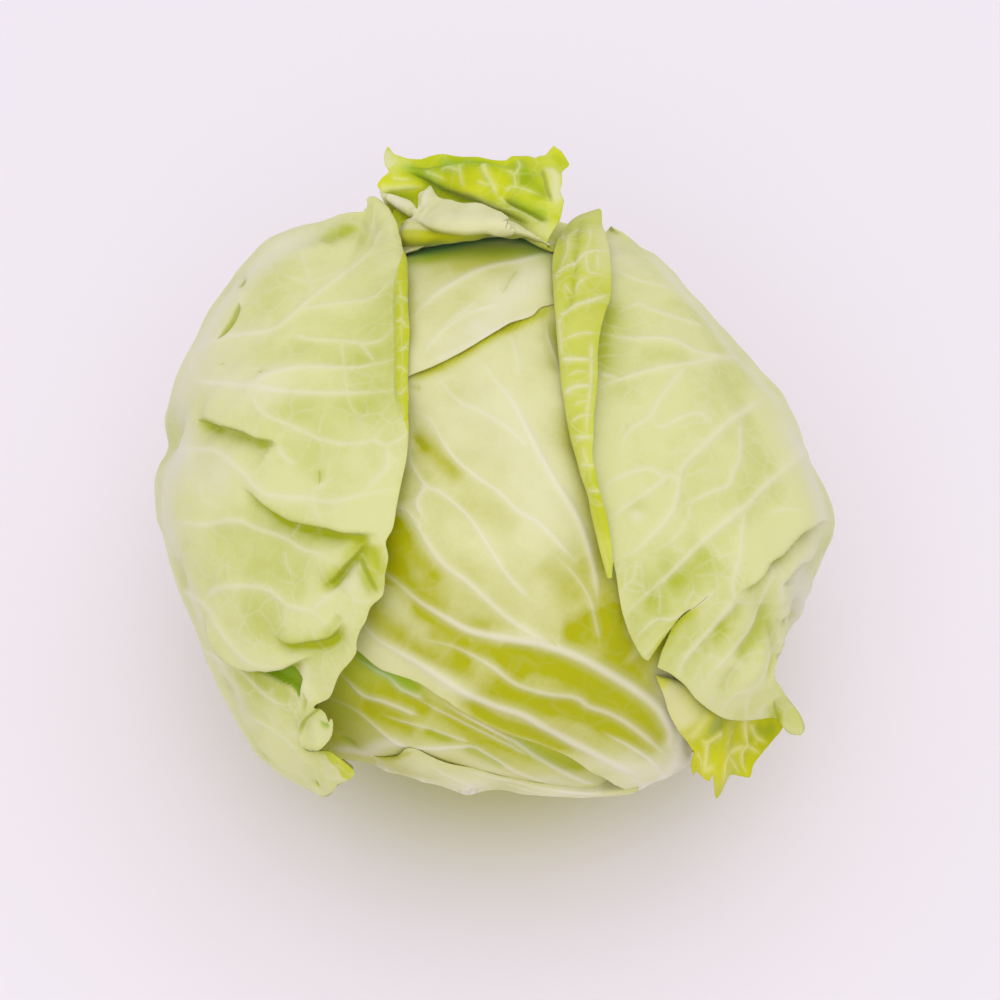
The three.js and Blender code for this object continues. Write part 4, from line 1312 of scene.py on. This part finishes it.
# %% Front leaf: furrows and shade
# The green in these strokes is the furrows' own deeper green together with painted shade, strongest
# beside the left wrapper's margin, beside the right band, under the crown's margin and under the
# right wrapper's flap. The second set spreads broad green over the lower half, the leaf's own green
# together with painted shade.
FURROW_DEPTH = 0.35
for marks, width, green in (
        ("612,604 616,622 620,640 632,656", 5.5, 0.95),
        ("600,616 590,626 578,634 560,634", 4.5, 0.75),
        ("640,650 655,662 668,680", 4.0, 0.45),
        ("500,648 520,656 550,664 585,672 620,682 650,700", 4.6, 0.9),
        ("470,646 500,655 530,662", 3.6, 0.5),
        ("492,688 515,694 540,702 572,708 600,716 640,738", 4.4, 0.95),
        ("640,706 655,720 664,742", 4.0, 0.7),
        ("600,722 630,738 652,756", 3.4, 0.6),
        ("470,692 500,704 540,724 580,742 620,760", 3.6, 0.6),
        ("462,702 486,716 510,728 540,738 575,752", 2.6, 0.7),
        ("404,640 424,654 448,664 475,676", 2.6, 0.55),
        ("425,632 446,642 470,650", 3.0, 0.45),
        ("362,600 372,612 388,628 408,640", 4.2, 0.75),
        ("410,606 434,618 460,628 492,632", 2.8, 0.8),
        ("380,556 400,578 420,596 450,608", 3.6, 0.6),
        ("430,572 455,592 485,612 520,628", 4.5, 0.35),
        ("398,515 392,536 386,560 384,586", 3.4, 0.7),
        ("403,466 400,486 402,504", 2.8, 0.55),
        ("414,428 428,446 446,464 462,478", 2.6, 0.6),
        ("412,448 420,470 430,480", 2.6, 0.3),
        ("460,490 490,512 520,530", 4.5, 0.25),
        ("430,520 450,548 485,585", 4.0, 0.3),
        ("404,528 418,556 440,584", 3.0, 0.5),
        ("540,560 560,580 575,606", 4.5, 0.4),
        ("412,377 432,369 465,352 499,331 530,317 553,307", 1.4, 0.6),
        ("410,388 417,388 422,390", 0.8, 0.5),
        ("566,405 572,430 580,460 590,495 600,528 607,560", 3.6, 0.6),
        ("551,315 556,340 560,375", 2.6, 0.5)):
    front.stroke(front.path(marks), width, green=green, relief=-FURROW_DEPTH * green)
for marks, width, green in (
        ("540,666 580,688 630,714 668,736", 9, 0.45),
        ("450,650 480,672 520,690", 6, 0.4),
        ("392,505 398,540 412,575", 6, 0.45),
        ("585,556 605,585 628,608", 6, 0.5),
        ("470,712 520,728 570,748", 4, 0.35)):
    front.stroke(front.path(marks), width, green=green)
front.draw("""
    slit half=0.35 depth=0.4 strength=0.7: 411,433 419,442 427,453
    slit half=0.25 depth=0.1 strength=0.6: 455,655 461,658 472,664
""")

# %% Front leaf: pale base, painted highlight on the bulge and painted shade
# The cream strokes over the bulge are painted highlight. The lime and cream stroke beside the flap is
# painted light in the flap's shade, and the lime and green stroke under the crown's margin is painted
# shade.
front.draw("""
    stroke 2.6 cream=0.85 relief=0.5: 600,794 628,788 655,779 670,768 678,750 678,728 672,700 \
        660,668
    stroke 5 cream=0.35: 655,772 640,766 620,756
    stroke 3.0 lime=0.4 cream=0.35: 666,664 676,684 684,708 688,730
    stroke 9 cream=0.25: 470,370 500,420 530,470 560,530
    stroke 7 cream=0.12: 440,400 455,430 490,470
    stroke 2.6 lime=0.9 green=0.3: 702,602 688,614 674,632 660,652 654,664
    stroke 2.2 lime=0.75 green=0.2: 409,378 432,369 465,352 499,331 530,317 556,307
""")
finish_leaf(front, "leaf_front", head_skin)

# %% [markdown]
# ## The crown leaf
# The first leaf of the tight head at the back and top ends in a slanting margin over the front
# leaf. It is the palest leaf, and green only in the shade of the leaves that lean over it.

# %% Crown leaf
CROWN_NET = [
    placed([208, 194, 180, 166, 152], -84, -2.4),
    placed([215, 198, 180, 162, 145], -77, -2.4),
    placed([228, 204, 180, 156, 132], -45, -1.5),
    placed([230, 205, 180, 155, 130], -8, 0),
    placed([232, 207, 181, 155, 132], [20, 21, 22, 21, 14], [2, 3.6, 4.4, 3.6, 2]),
    placed([234, 212, 184, 157, 138], [38, 43, 45, 41, 29], [2, 3.6, 4.4, 3.6, 2]),
    drawn("345,330 408,312 482,295 552,280 615,272", [2, 2.2, 2.6, 2.6, 2]),
    drawn("352,412 413,383 485,347 548,316 608,294", 1.3),
]
crown = Leaf(CROWN_NET, row_steps=[3, 8, 10, 10, 12, 28, 32], column_steps=170)
crown.sway(0.35, 26, seed=7)
crown.trim(
    "340,406 400,380 413,374 432,366 465,349 482,339 499,328 512,320 532,314 541,306 555,303 580,296 "
    "620,280",
    "700,240 700,60 200,60 200,406", where=crown.row_of > 4.5)
crown.fan(2.0, 2.0, [0.4, 1.2, 2.8, 3.6])
crown.veins("""
    552,254 522,261 494,266 465,278 436,295 413,318
""", 2.4, 1.8, strength=0.5, rise=0.35)
crown.veins("""
    500,302 465,314 440,333 425,352 418,368
    478,300 450,320 430,346
""", 1.2, 0.8, strength=0.3, rise=0.25)
# The dark and green strokes across the top are painted shade under the turned leaf, and the narrow
# green strokes at the sides are painted shade beside the wrappers' margins.
crown.draw("""
    stroke 6.5 cream=0.5: 540,258 534,268 514,293 492,320 478,338
    stroke 5 cream=0.3: 430,356 455,340 485,322
    slit half=0.3 depth=0.1 strength=0.35: 519,268 510,280 502,294
    stroke 4.4 dark=1.0: 404,254 430,248 460,243 500,238 530,242 553,250
    stroke 5.0 green=0.8 lime=0.3 dark=0.3: 404,262 430,256 470,251 520,252 554,258
    stroke 2.6 green=0.6: 553,262 555,280 557,298
    stroke 1.6 green=0.35: 409,275 411,310 413,350
    stroke 5 green=0.55 lime=0.2: 450,268 480,262 520,262
    stroke 1.2 cream=0.4: 420,368 450,354 485,336 520,317 550,305
""")
finish_leaf(crown, "leaf_crown", head_skin)

# %% [markdown]
# ## The turned leaf and the collar
# Behind the top two thinner leaves stand off the head. The turned leaf's margin is folded back
# over itself in a cream strip, crumpled at its left end. The collar leans away from the head and
# shows its green inner side, which a long diagonal crease crosses.

# %% Turned leaf: large form
TURNED_NET = [
    placed([205, 197, 188, 180, 172, 163, 155], -84, 0.6),
    placed([214, 203, 191, 180, 169, 157, 146], -77, 0.6),
    placed([226, 211, 195, 180, 165, 150, 135], -50, 1.1),
    placed([228, 212, 196, 180, 164, 148, 133], -10, 2.3),
    placed([224, 210, 196, 181, 167, 153, 140], 22, [3, 4.4, 5.2, 5.6, 5.2, 4.4, 3]),
    placed([214, 204, 193, 182, 171, 160, 149], 42, [4.2, 5.2, 6, 6.4, 6, 5.2, 4.2]),
    drawn("402,248 427,244 451,241 477,237 502,233 525,238 552,247",
          [5.5, 6.5, 7.2, 7.4, 7.2, 6.5, 5.4]),
    drawn("400,241 425,238 450,236 476,233 502,231 525,237 551,246",
          [7.6, 9.6, 10.6, 10.8, 10.3, 8.8, 6.8]),
    drawn("395,228 424,223 446,229 470,230 499,230 523,235 550,245",
          [9.6, 12.6, 13.4, 13.6, 12.8, 10.8, 8]),
    drawn("388,213 419,207 448,213 474,216 502,223 524,232 549,243",
          [11.6, 15.6, 16, 16, 14.8, 12.2, 9]),
    drawn("379,190 428,182 453,194 482,200 508,213 528,228 548,241",
          [13, 17, 16.8, 16.2, 14.4, 12.2, 9.6]),
]
turned = Leaf(
    TURNED_NET, row_steps=[3, 8, 8, 8, 8, 6, 10, 12, 16, 18], column_steps=230, bent=5.8)
strip = (6, 10)
turned_over = turned.row_of > strip[0]
turned.sway(0.25, 18, seed=8)
turned.sway(0.12, 6, seed=12)
turned.fan(3.0, 3.0, [0.6, 1.8, 4.2, 5.4])
turned.trim(
    "376,190 384,193 393,195 402,198 412,202 416,206 418,211 418,205 417,200 419,194 422,192 425,192 "
    "427,190 430,186 433,191 438,197 445,199 452,200 461,203 472,204 481,205 488,207 493,209 499,213 "
    "505,218 511,220 518,223 525,228 532,233 540,239 552,246",
    "600,300 360,300", where=turned_over)

# %% Turned leaf: strips, folds and tints
# The strip that faces up is paled with cream as painted light, and the steep strip below it is made
# lime as painted shade. The lime and green strokes along its lower edge are painted shade too.
upper = np.clip((turned.row_of - 7.9) * 8, 0, 1) * turned_over
turned.fields["cream"] += 0.35 * upper
turned.fields["lime"] += np.where(turned_over, 0.15 + 0.6 * (1 - upper), 0)
turned.draw("""
    fold 2.4 4 lap=0.7 green=0.5: 410,218 420,220 430,225 446,229 467,230 487,228 499,230 510,234 \
        522,236 531,235
    fold 2.0 3 lap=0.5 green=0.6: 384,194 394,203 404,209 411,213 418,212
    fold -2.2 3 lap=0.4 green=0.5: 394,226 402,222 410,217 414,216
    stroke 2.6 lime=0.6 green=0.5 cream=-0.7 relief=-0.8: 386,204 394,214 399,219 408,214
    stroke 1.3 cream=0.6 relief=0.6: 387,196 398,202 410,208
    stroke 1.0 relief=-0.8 green=0.35: 418,196 420,204 421,214
    stroke 1.4 relief=0.9 cream=0.3: 429,190 424,200 419,211
    stroke 1.2 relief=-0.5 green=0.2: 440,200 432,208 425,218
    stroke 2.0 lime=0.9 green=0.25 cream=-0.5: 400,240 425,238 460,236 497,231
    stroke 1.5 cream=0.5: 398,231 412,228 432,230
    stroke 1.6 lime=0.9 green=0.5 cream=-0.5: 517,239 530,240 545,245
    stroke 2 green=0.12: 452,206 456,216 458,226
    stroke 2 green=0.12: 486,210 486,220 484,227
    stroke 1.0 green=0.4: 402,245 425,243 450,240
""", strip)
finish_leaf(turned, "leaf_turned", head_skin)

# %% Collar: large form
BACK_NET = [
    placed([205, 198, 190, 180, 170, 162, 155], -84, 2.6),
    placed([212, 202, 191, 180, 169, 158, 148], -77, 2.6),
    placed([224, 209, 195, 180, 166, 151, 137], -50, 3.2),
    placed([226, 211, 196, 181, 166, 151, 136], -10, 4.5),
    placed([222, 209, 195, 181, 167, 153, 140], 20, [5.2, 6.6, 7.6, 8, 7.6, 6.6, 5.2]),
    placed([212, 203, 193, 182, 171, 161, 153], 37, [6.2, 7.4, 8.4, 9, 8.4, 7, 5.6]),
    drawn("397,204 413,207 438,212 472,220 500,228 526,238 550,249",
          [11.5, 11, 10.5, 9.5, 8, 6.5, 6]),
    drawn("378,187 405,184 440,188 478,192 512,198 538,208 561,216",
          [19, 18, 17.5, 17, 16.5, 15.5, 15]),
    drawn("378,170 408,168 442,168 480,170 514,172 542,176 567,178",
          [26, 25, 24, 23.5, 23.5, 23.5, 23]),
    drawn("380,142 410,148 446,148 482,150 514,151 544,146 574,142",
          [31.5, 30.5, 30, 29, 29, 29.5, 30]),
]
collar = Leaf(
    BACK_NET, row_steps=[3, 8, 10, 10, 10, 12, 18, 20, 20], column_steps=240, bent=5.4)
lean = (6, 9)
collar.sway(0.4, 20, seed=9)
collar.sway(0.2, 7, seed=13)
collar.fan(3.0, 3.0, [0.5, 1.4, 2.2, 3.8, 4.7, 5.5])
outer_side = np.clip(5.6 - collar.row_of, 0, 1)
collar.fields["cream"] += 0.35 * outer_side
collar.fields["bloom"] += 0.25 * outer_side
collar.trim(
    "400,206 388,196 380,193 377,187 382,178 389,172 385,165 384,156 386,149 388,146 391,150 395,154 "
    "401,156 407,158 421,158 430,155 443,153 455,155 475,156 492,158 507,159 510,157 513,156 525,156 "
    "531,157 536,158 539,156 545,156 548,153 550,151 554,148 558,151 561,153 566,159 570,164 566,168 "
    "563,171 561,177 561,184 560,191 563,200 565,210 562,216",
    "600,330 380,330", where=collar.row_of > lean[0])

# %% Collar: creases and veins of the inner side
# Each fold greens its low side with painted shade, and the dark and green strokes are painted shade
# along the creases and under the top edge.
collar.draw("""
    fold 2.6 6 lap=0.6 green=0.7: 404,168 413,171 426,175 446,184 467,193 490,203 516,214 538,226
    fold 2.0 4 lap=0.4 green=0.6: 505,197 516,202 528,208 541,215 553,221
    fold -1.6 4 lap=0.3 green=0.7: 398,170 410,167 426,167 440,165 455,164 479,163 500,165 520,170
    stroke 1.8 dark=0.3 green=0.3 relief=-0.5: 438,163 460,161 490,162
    stroke 1.8 dark=0.2 green=0.4: 400,168 415,170 432,178 452,187
    stroke 1.6 dark=0.2 green=0.4: 512,200 530,208 548,217
    stroke 2.0 dark=0.2 green=0.5: 394,198 405,200 413,203
    stroke 3.0 green=0.7: 514,160 522,172 534,186 545,200
    stroke 2.5 green=0.4: 455,196 480,207 500,216
""", lean)
collar.veins("""
    484,165 487,172 490,177 498,191 500,197
    378,189 390,188 405,187 421,187
""", 1.3, 0.8, part=lean, strength=0.55, rise=0.3)
collar.veins("""
    432,180 450,188 467,195 498,206 521,217
    464,166 466,171 467,181 470,187
    466,171 452,168 444,172
    507,193 511,187 516,187 528,191 540,196
    516,187 515,177 510,172 505,170
    515,177 520,166 516,158
    425,171 440,175 452,179
    500,197 512,206 528,216 545,227
    480,180 488,184 496,187
    392,178 402,180 412,180
""", 0.8, 0.5, part=lean, strength=0.45, rise=0.2)

# %% Collar: pale ends
collar.draw("""
    stroke 2.2 bloom=0.45 cream=0.3: 388,150 387,160 391,168
    stroke 2.0 cream=0.3: 393,158 400,162 412,162
    fold -1.8 3 lap=0.3 green=0.2: 552,209 547,192 543,178 541,166
    stroke 2.0 cream=0.8 relief=0.5: 550,168 552,184 556,206
    stroke 1.6 cream=0.4: 556,172 557,188 558,202
    stroke 2.2 lime=0.4 green=0.2: 552,155 560,160 566,164
    stroke 3.4 cream=0.5: 500,222 524,230 548,240
    stroke 2.6 cream=0.4: 540,222 550,232 553,242
""", lean)
finish_leaf(collar, "wrapper_back", thin_skin)

# %% [markdown]
# ## The low leaves
# Under the front leaf two more leaves of the tight head show at the bottom. The lower one is
# ribbed and hollowed between its ribs, and the fringe is the cut end of a leaf below it.

# %% Lower leaf
LOWER_NET = [
    placed([0, 7, 14, 21, 28], -84, -6),
    placed([356, 4, 14, 24, 34], -77, -6),
    placed([354, 4, 14, 24, 34], -50, -5.8),
    drawn("598,790 612,774 622,750 630,722 638,695", [-4.5, -4.8, -5, -5.2, -5.4]),
    drawn("520,786 525,762 535,730 545,700 555,665", [-4.4, -4.6, -4.8, -5, -5.4]),
    drawn("440,778 445,748 455,715 465,685 475,650", [-4.2, -4.4, -4.6, -4.8, -5.4]),
    drawn("368,764 373,724 383,683 394,645 405,610", [-3.8, -4, -4.2, -4.6, -5.4]),
    drawn("312,752 316,705 330,658 342,615 352,580", [-3.6, -3.6, -3.8, -4.4, -5.4]),
]
lower = Leaf(LOWER_NET, row_steps=[3, 6, 8, 24, 28, 28, 22], column_steps=150)
lower.sway(0.3, 20, seed=10)
lower.fan(2.0, 2.0, [0.6, 3.4], reach_row=3.0, widths=(5.0, 3.5))
lower.veins("""
    596,784 588,782 578,778 550,765 526,752 504,738 484,726 460,714 446,705
    555,786 520,772 490,757 470,748 429,748 400,744 381,730 356,711 330,698
    417,717 383,702 364,696 352,686 342,676
    422,700 400,690 388,678 370,668 356,660
""", 1.4, 1.0, strength=0.55, rise=0.6)
lower.veins("""
    470,744 446,736 424,728 400,722 383,716
    530,758 500,743 470,728 446,716 424,705 404,696
""", 1.0, 0.7, strength=0.4, rise=0.4)
HOLLOW_DEPTH = 1.2
# The end that lies in the left wrapper's shade is made lime and less green: painted light that
# brightens that shade.
shaded_end = np.clip(lower.row_of - 5.6, 0, 1)
lower.fields["green"] += 0.38 - 0.2 * shaded_end
lower.fields["lime"] += 0.15 + 0.7 * shaded_end
# The green and dark of these hollows are painted shade: under the front leaf's margin and in the
# lens-shaped hollows between the ribs.
for marks, width, green, dark in (
        ("352,646 364,660 380,668 398,680 420,692", 2.6, 0.6, 0.5),
        ("340,664 356,680 378,692", 4.0, 0.25, 0.1),
        ("328,680 338,700 354,722", 4.2, 0.1, 0.1),
        ("376,690 400,702 430,712", 3.4, 0.65, 0.0),
        ("360,704 390,720 414,734", 3.4, 0.6, 0.0),
        ("338,736 346,741 354,746", 1.6, 0.5, 0.2),
        ("424,732 436,738 452,744", 1.8, 0.5, 0.15),
        ("466,748 484,757 504,767", 2.6, 0.6, 0.1),
        ("510,738 535,752 560,762 586,768", 3.0, 0.8, 0.15),
        ("440,712 470,730 500,742 530,752", 3.0, 0.5, 0.0)):
    lower.stroke(lower.path(marks), width, green=green, dark=dark, relief=-HOLLOW_DEPTH * green)
lower.draw("""
    stroke 2.4 cream=0.6 green=-0.3: 336,750 350,750 366,754 384,744 404,742
    stroke 3.4 cream=0.25 green=-0.2: 420,750 450,752 480,764 510,776
    stroke 4 cream=0.3 green=-0.2: 540,776 565,784 585,788
""")
finish_leaf(lower, "leaf_lower", head_skin)

# %% Fringe leaf
FRINGE_NET = [
    placed([330, 340, 350, 0, 9, 17], -84, -3.4),
    placed([318, 330, 342, 355, 8, 20], -77, -3.4),
    placed([320, 332, 344, 356, 9, 22], -50, -3.2),
    drawn("366,759 400,772 440,780 500,790 560,797 634,793",
          [-3.2, -3, -3.4, -3.6, -3.4, -3]),
    drawn("365,746 400,744 450,758 503,770 556,778 632,770",
          [-4, -3, -4.6, -4.9, -4.7, -4]),
]
fringe = Leaf(FRINGE_NET, row_steps=[3, 8, 18, 14], column_steps=220)
fringe.sway(0.25, 20, seed=11)
fringe.fan(2.5, 2.5, [0.6, 1.6, 3.4, 4.4], reach_row=3.0, widths=(4.5, 3.0))
fringe.trim(
    "366,750 372,755 380,758 390,758 398,756 406,749 416,750 430,756 450,763 475,769 503,777 530,782 "
    "556,784 572,780 590,774 612,770 640,764",
    "660,860 300,860 340,760", where=fringe.row_of > 2.8)
# The narrow green stroke under the curled margin is painted shade.
fringe.draw("""
    stroke 2.2 lime=0.5: 376,757 386,761 395,764
    stroke 1.0 green=0.6: 388,757 398,756 410,752
""")
fringe.veins("""
    596,795 560,791 526,785 485,775 458,768
    480,785 455,777 430,764
    560,796 530,791 505,785
""", 1.2, 0.8, strength=0.5, rise=0.4)
fringe.fields["green"] += 0.12
# The narrow green stroke at the left end is painted shade under the curled margin.
fringe.draw("""
    stroke 4.0 cream=0.6: 604,790 580,788 556,790
    stroke 4.0 green=0.25: 380,765 410,772 440,778
    stroke 1.4 green=0.8: 370,752 384,759 398,757
""")
finish_leaf(fringe, "leaf_fringe", head_skin)

# %% [markdown]
# ## The torn leaf
# A ragged remnant of one more wrapper hangs out under the right wrapper. It is thin and bright,
# and its inner side shows with strong veins.

# %% Torn leaf
TORN_NET = [
    placed([48, 53, 58, 62], -84, 2.4),
    placed([44, 51, 58, 65], -77, 2.4),
    placed([42, 49, 56, 63], -60, 3.2),
    placed([42, 48, 54, 60], -40, 4.2),
    placed([40, 46, 52, 57], -12, 5),
    drawn("648,674 696,690 736,700 772,700", [2.6, 4, 5, 6]),
    drawn("664,736 708,740 746,742 788,736", [6, 10, 11, 11]),
    drawn("674,792 712,806 740,802 770,790", [12, 14, 14, 14]),
]
torn = Leaf(TORN_NET, row_steps=[3, 6, 8, 12, 16, 26, 30], column_steps=150, bent=4.7)
flap = (5, 7)
torn.sway(0.5, 14, seed=14)
torn.trim(
    "650,660 658,682 665,700 671,717 679,731 687,741 691,748 694,751 692,758 691,767 694,776 696,771 "
    "701,775 708,779 711,771 713,784 716,799 718,798 723,791 726,784 732,775 740,776 750,778 752,770 "
    "754,764 762,753 773,740 783,727 788,700",
    "788,600 650,600", where=torn.row_of > 4.8)
torn.veins("""
    743,716 741,730 740,744 737,753 742,767 747,774
    739,744 724,757 721,770 722,780
    739,744 751,748 760,754
    747,722 755,735 766,743
    721,732 706,742 700,738
    706,742 705,762 704,770
""", 1.3, 0.8, part=flap, strength=0.7, rise=0.4)
torn.veins("""
    755,735 755,746
    727,756 736,768 740,774
    734,730 728,738 722,745
    696,752 700,758 702,768
""", 0.7, 0.5, part=flap, strength=0.5, rise=0.3)
# The strong green strokes on the flap are painted shade. The wide pale cream and wax stroke at the
# left end is painted light on the part that lies in shade beside the front leaf.
torn.draw("""
    stroke 1.8 cream=0.5: 743,716 742,726 740,738
    stroke 3.0 green=0.9 dark=0.1: 707,722 715,726 722,722
    stroke 2.6 green=0.8 dark=0.1: 752,724 764,730 776,726
    stroke 1.6 cream=0.7: 706,766 709,770
    stroke 1.6 cream=0.5: 704,712 698,722 690,738
    stroke 5.0 cream=0.4 bloom=0.4: 664,684 676,706 686,726
    stroke 2.4 green=0.5: 692,696 698,708 704,718
    stroke 4.0 lime=0.5: 715,750 712,765 718,785
    stroke 4.0 lime=0.5: 745,755 748,768 744,775
""", flap)
finish_leaf(torn, "wrapper_torn", torn_skin)

# %% [markdown]
# ## The camera
# The leaves were drawn on a board seen through one eye point, so the camera stands in that eye and
# a line drawn on the board shows at its own place in the view. A longer lens from farther away
# would flatten the head, and a drawn line would then slide off its leaf. The focal length in metres
# on the board becomes one in millimetres on the sensor.

# %% Camera
SENSOR_MM = 36
camera_data = bpy.data.cameras.new("camera")
camera_data.sensor_width = SENSOR_MM
camera_data.lens = FOCAL * SENSOR_MM / (2 * BOARD_MIDDLE)
camera_data.clip_end = 20
camera = bpy.data.objects.new("camera", camera_data)
bpy.context.scene.collection.objects.link(camera)
camera.location = EYE
camera.rotation_euler = (np.pi / 2 - SIGHT_ELEVATION, 0, 0)
bpy.context.scene.camera = camera
print("camera with a", round(camera_data.lens, 1), "mm lens")

# %% [markdown]
# ## The floor
# The head stands on a matt white board with a faint lilac in it. It is one large square, wide
# enough that no edge shows from any side. Under the head the light has passed between the leaves
# and the board many times and has turned yellow and dim. The few bounces of a render lose most of
# that, so the board is tinted there: fully at the foot, and not at all past the head.

# %% Floor
FLOOR_HALF = 3.0
BOARD_WHITE = "#EDE6EF"
LEAF_LIGHT = "#D1CF94"
TINT_FULL, TINT_NONE = 45 * MM, 115 * MM
TINT_POWER = 3.0
floor_mesh = bpy.data.meshes.new("floor")
floor_mesh.from_pydata(
    [(-FLOOR_HALF, -FLOOR_HALF, 0), (FLOOR_HALF, -FLOOR_HALF, 0), (FLOOR_HALF, FLOOR_HALF, 0),
     (-FLOOR_HALF, FLOOR_HALF, 0)], [], [(0, 1, 2, 3)])
floor = bpy.data.objects.new("floor", floor_mesh)
bpy.context.scene.collection.objects.link(floor)
floor_material, tree = new_material("matt_white_board")
place = add(tree, "ShaderNodeTexCoord", "Object")
out = add(tree, "ShaderNodeVectorMath", "Value", {0: place}, operation="LENGTH")
tint = add(tree, "ShaderNodeMapRange", 0, {0: out, 1: TINT_FULL, 2: TINT_NONE, 3: 1.0, 4: 0.0})
tint = add(tree, "ShaderNodeMath", 0, {0: tint, 1: TINT_POWER}, operation="POWER")
colour = add(tree, "ShaderNodeMix", 2, {0: tint, 6: BOARD_WHITE, 7: LEAF_LIGHT}, data_type="RGBA")
body = add(tree, "ShaderNodeBsdfPrincipled", 0, {"Base Color": colour, "Roughness": 0.9})
add(tree, "ShaderNodeOutputMaterial", 0, {"Surface": body})
floor_mesh.materials.append(floor_material)
print("floor of", 2 * FLOOR_HALF, "m")

# %% [markdown]
# ## The light
# Most of the light comes from all around, as in a white tent, so the shadow on the board is pale
# and has no edge. A square lamp behind the head gives the leaves their soft shade towards the
# front, and a larger one in front fills the gaps under the leaves. A small lamp or a sun would
# give the folds black shadows that thin wet leaves don't have.

# %% Light
TENT_WHITE = (1.0, 0.99, 1.0, 1.0)
TENT_STRENGTH = 0.84
world = bpy.data.worlds.new("studio")
world.use_nodes = True
background = world.node_tree.nodes["Background"]
background.inputs["Color"].default_value = TENT_WHITE
background.inputs["Strength"].default_value = TENT_STRENGTH
bpy.context.scene.world = world


def soft_light(name, place, size, power):
    """A square studio light at a place in m, turned to the head. Size in m and power in W."""
    light = bpy.data.lights.new(name, "AREA")
    light.size = size
    light.energy = power
    lamp = bpy.data.objects.new(name, light)
    bpy.context.scene.collection.objects.link(lamp)
    lamp.location = place
    lamp.rotation_euler = (Vector(place) - Vector(HEAD_CENTRE)).to_track_quat("Z", "Y").to_euler()
    print("light", name, "of", power, "W")


soft_light("back_window", (0.2, 0.35, 1.5), 1.0, 2.6)
soft_light("front_fill", (-0.1, -0.75, 1.3), 1.2, 4.6)
bpy.context.scene.view_settings.view_transform = "Standard"
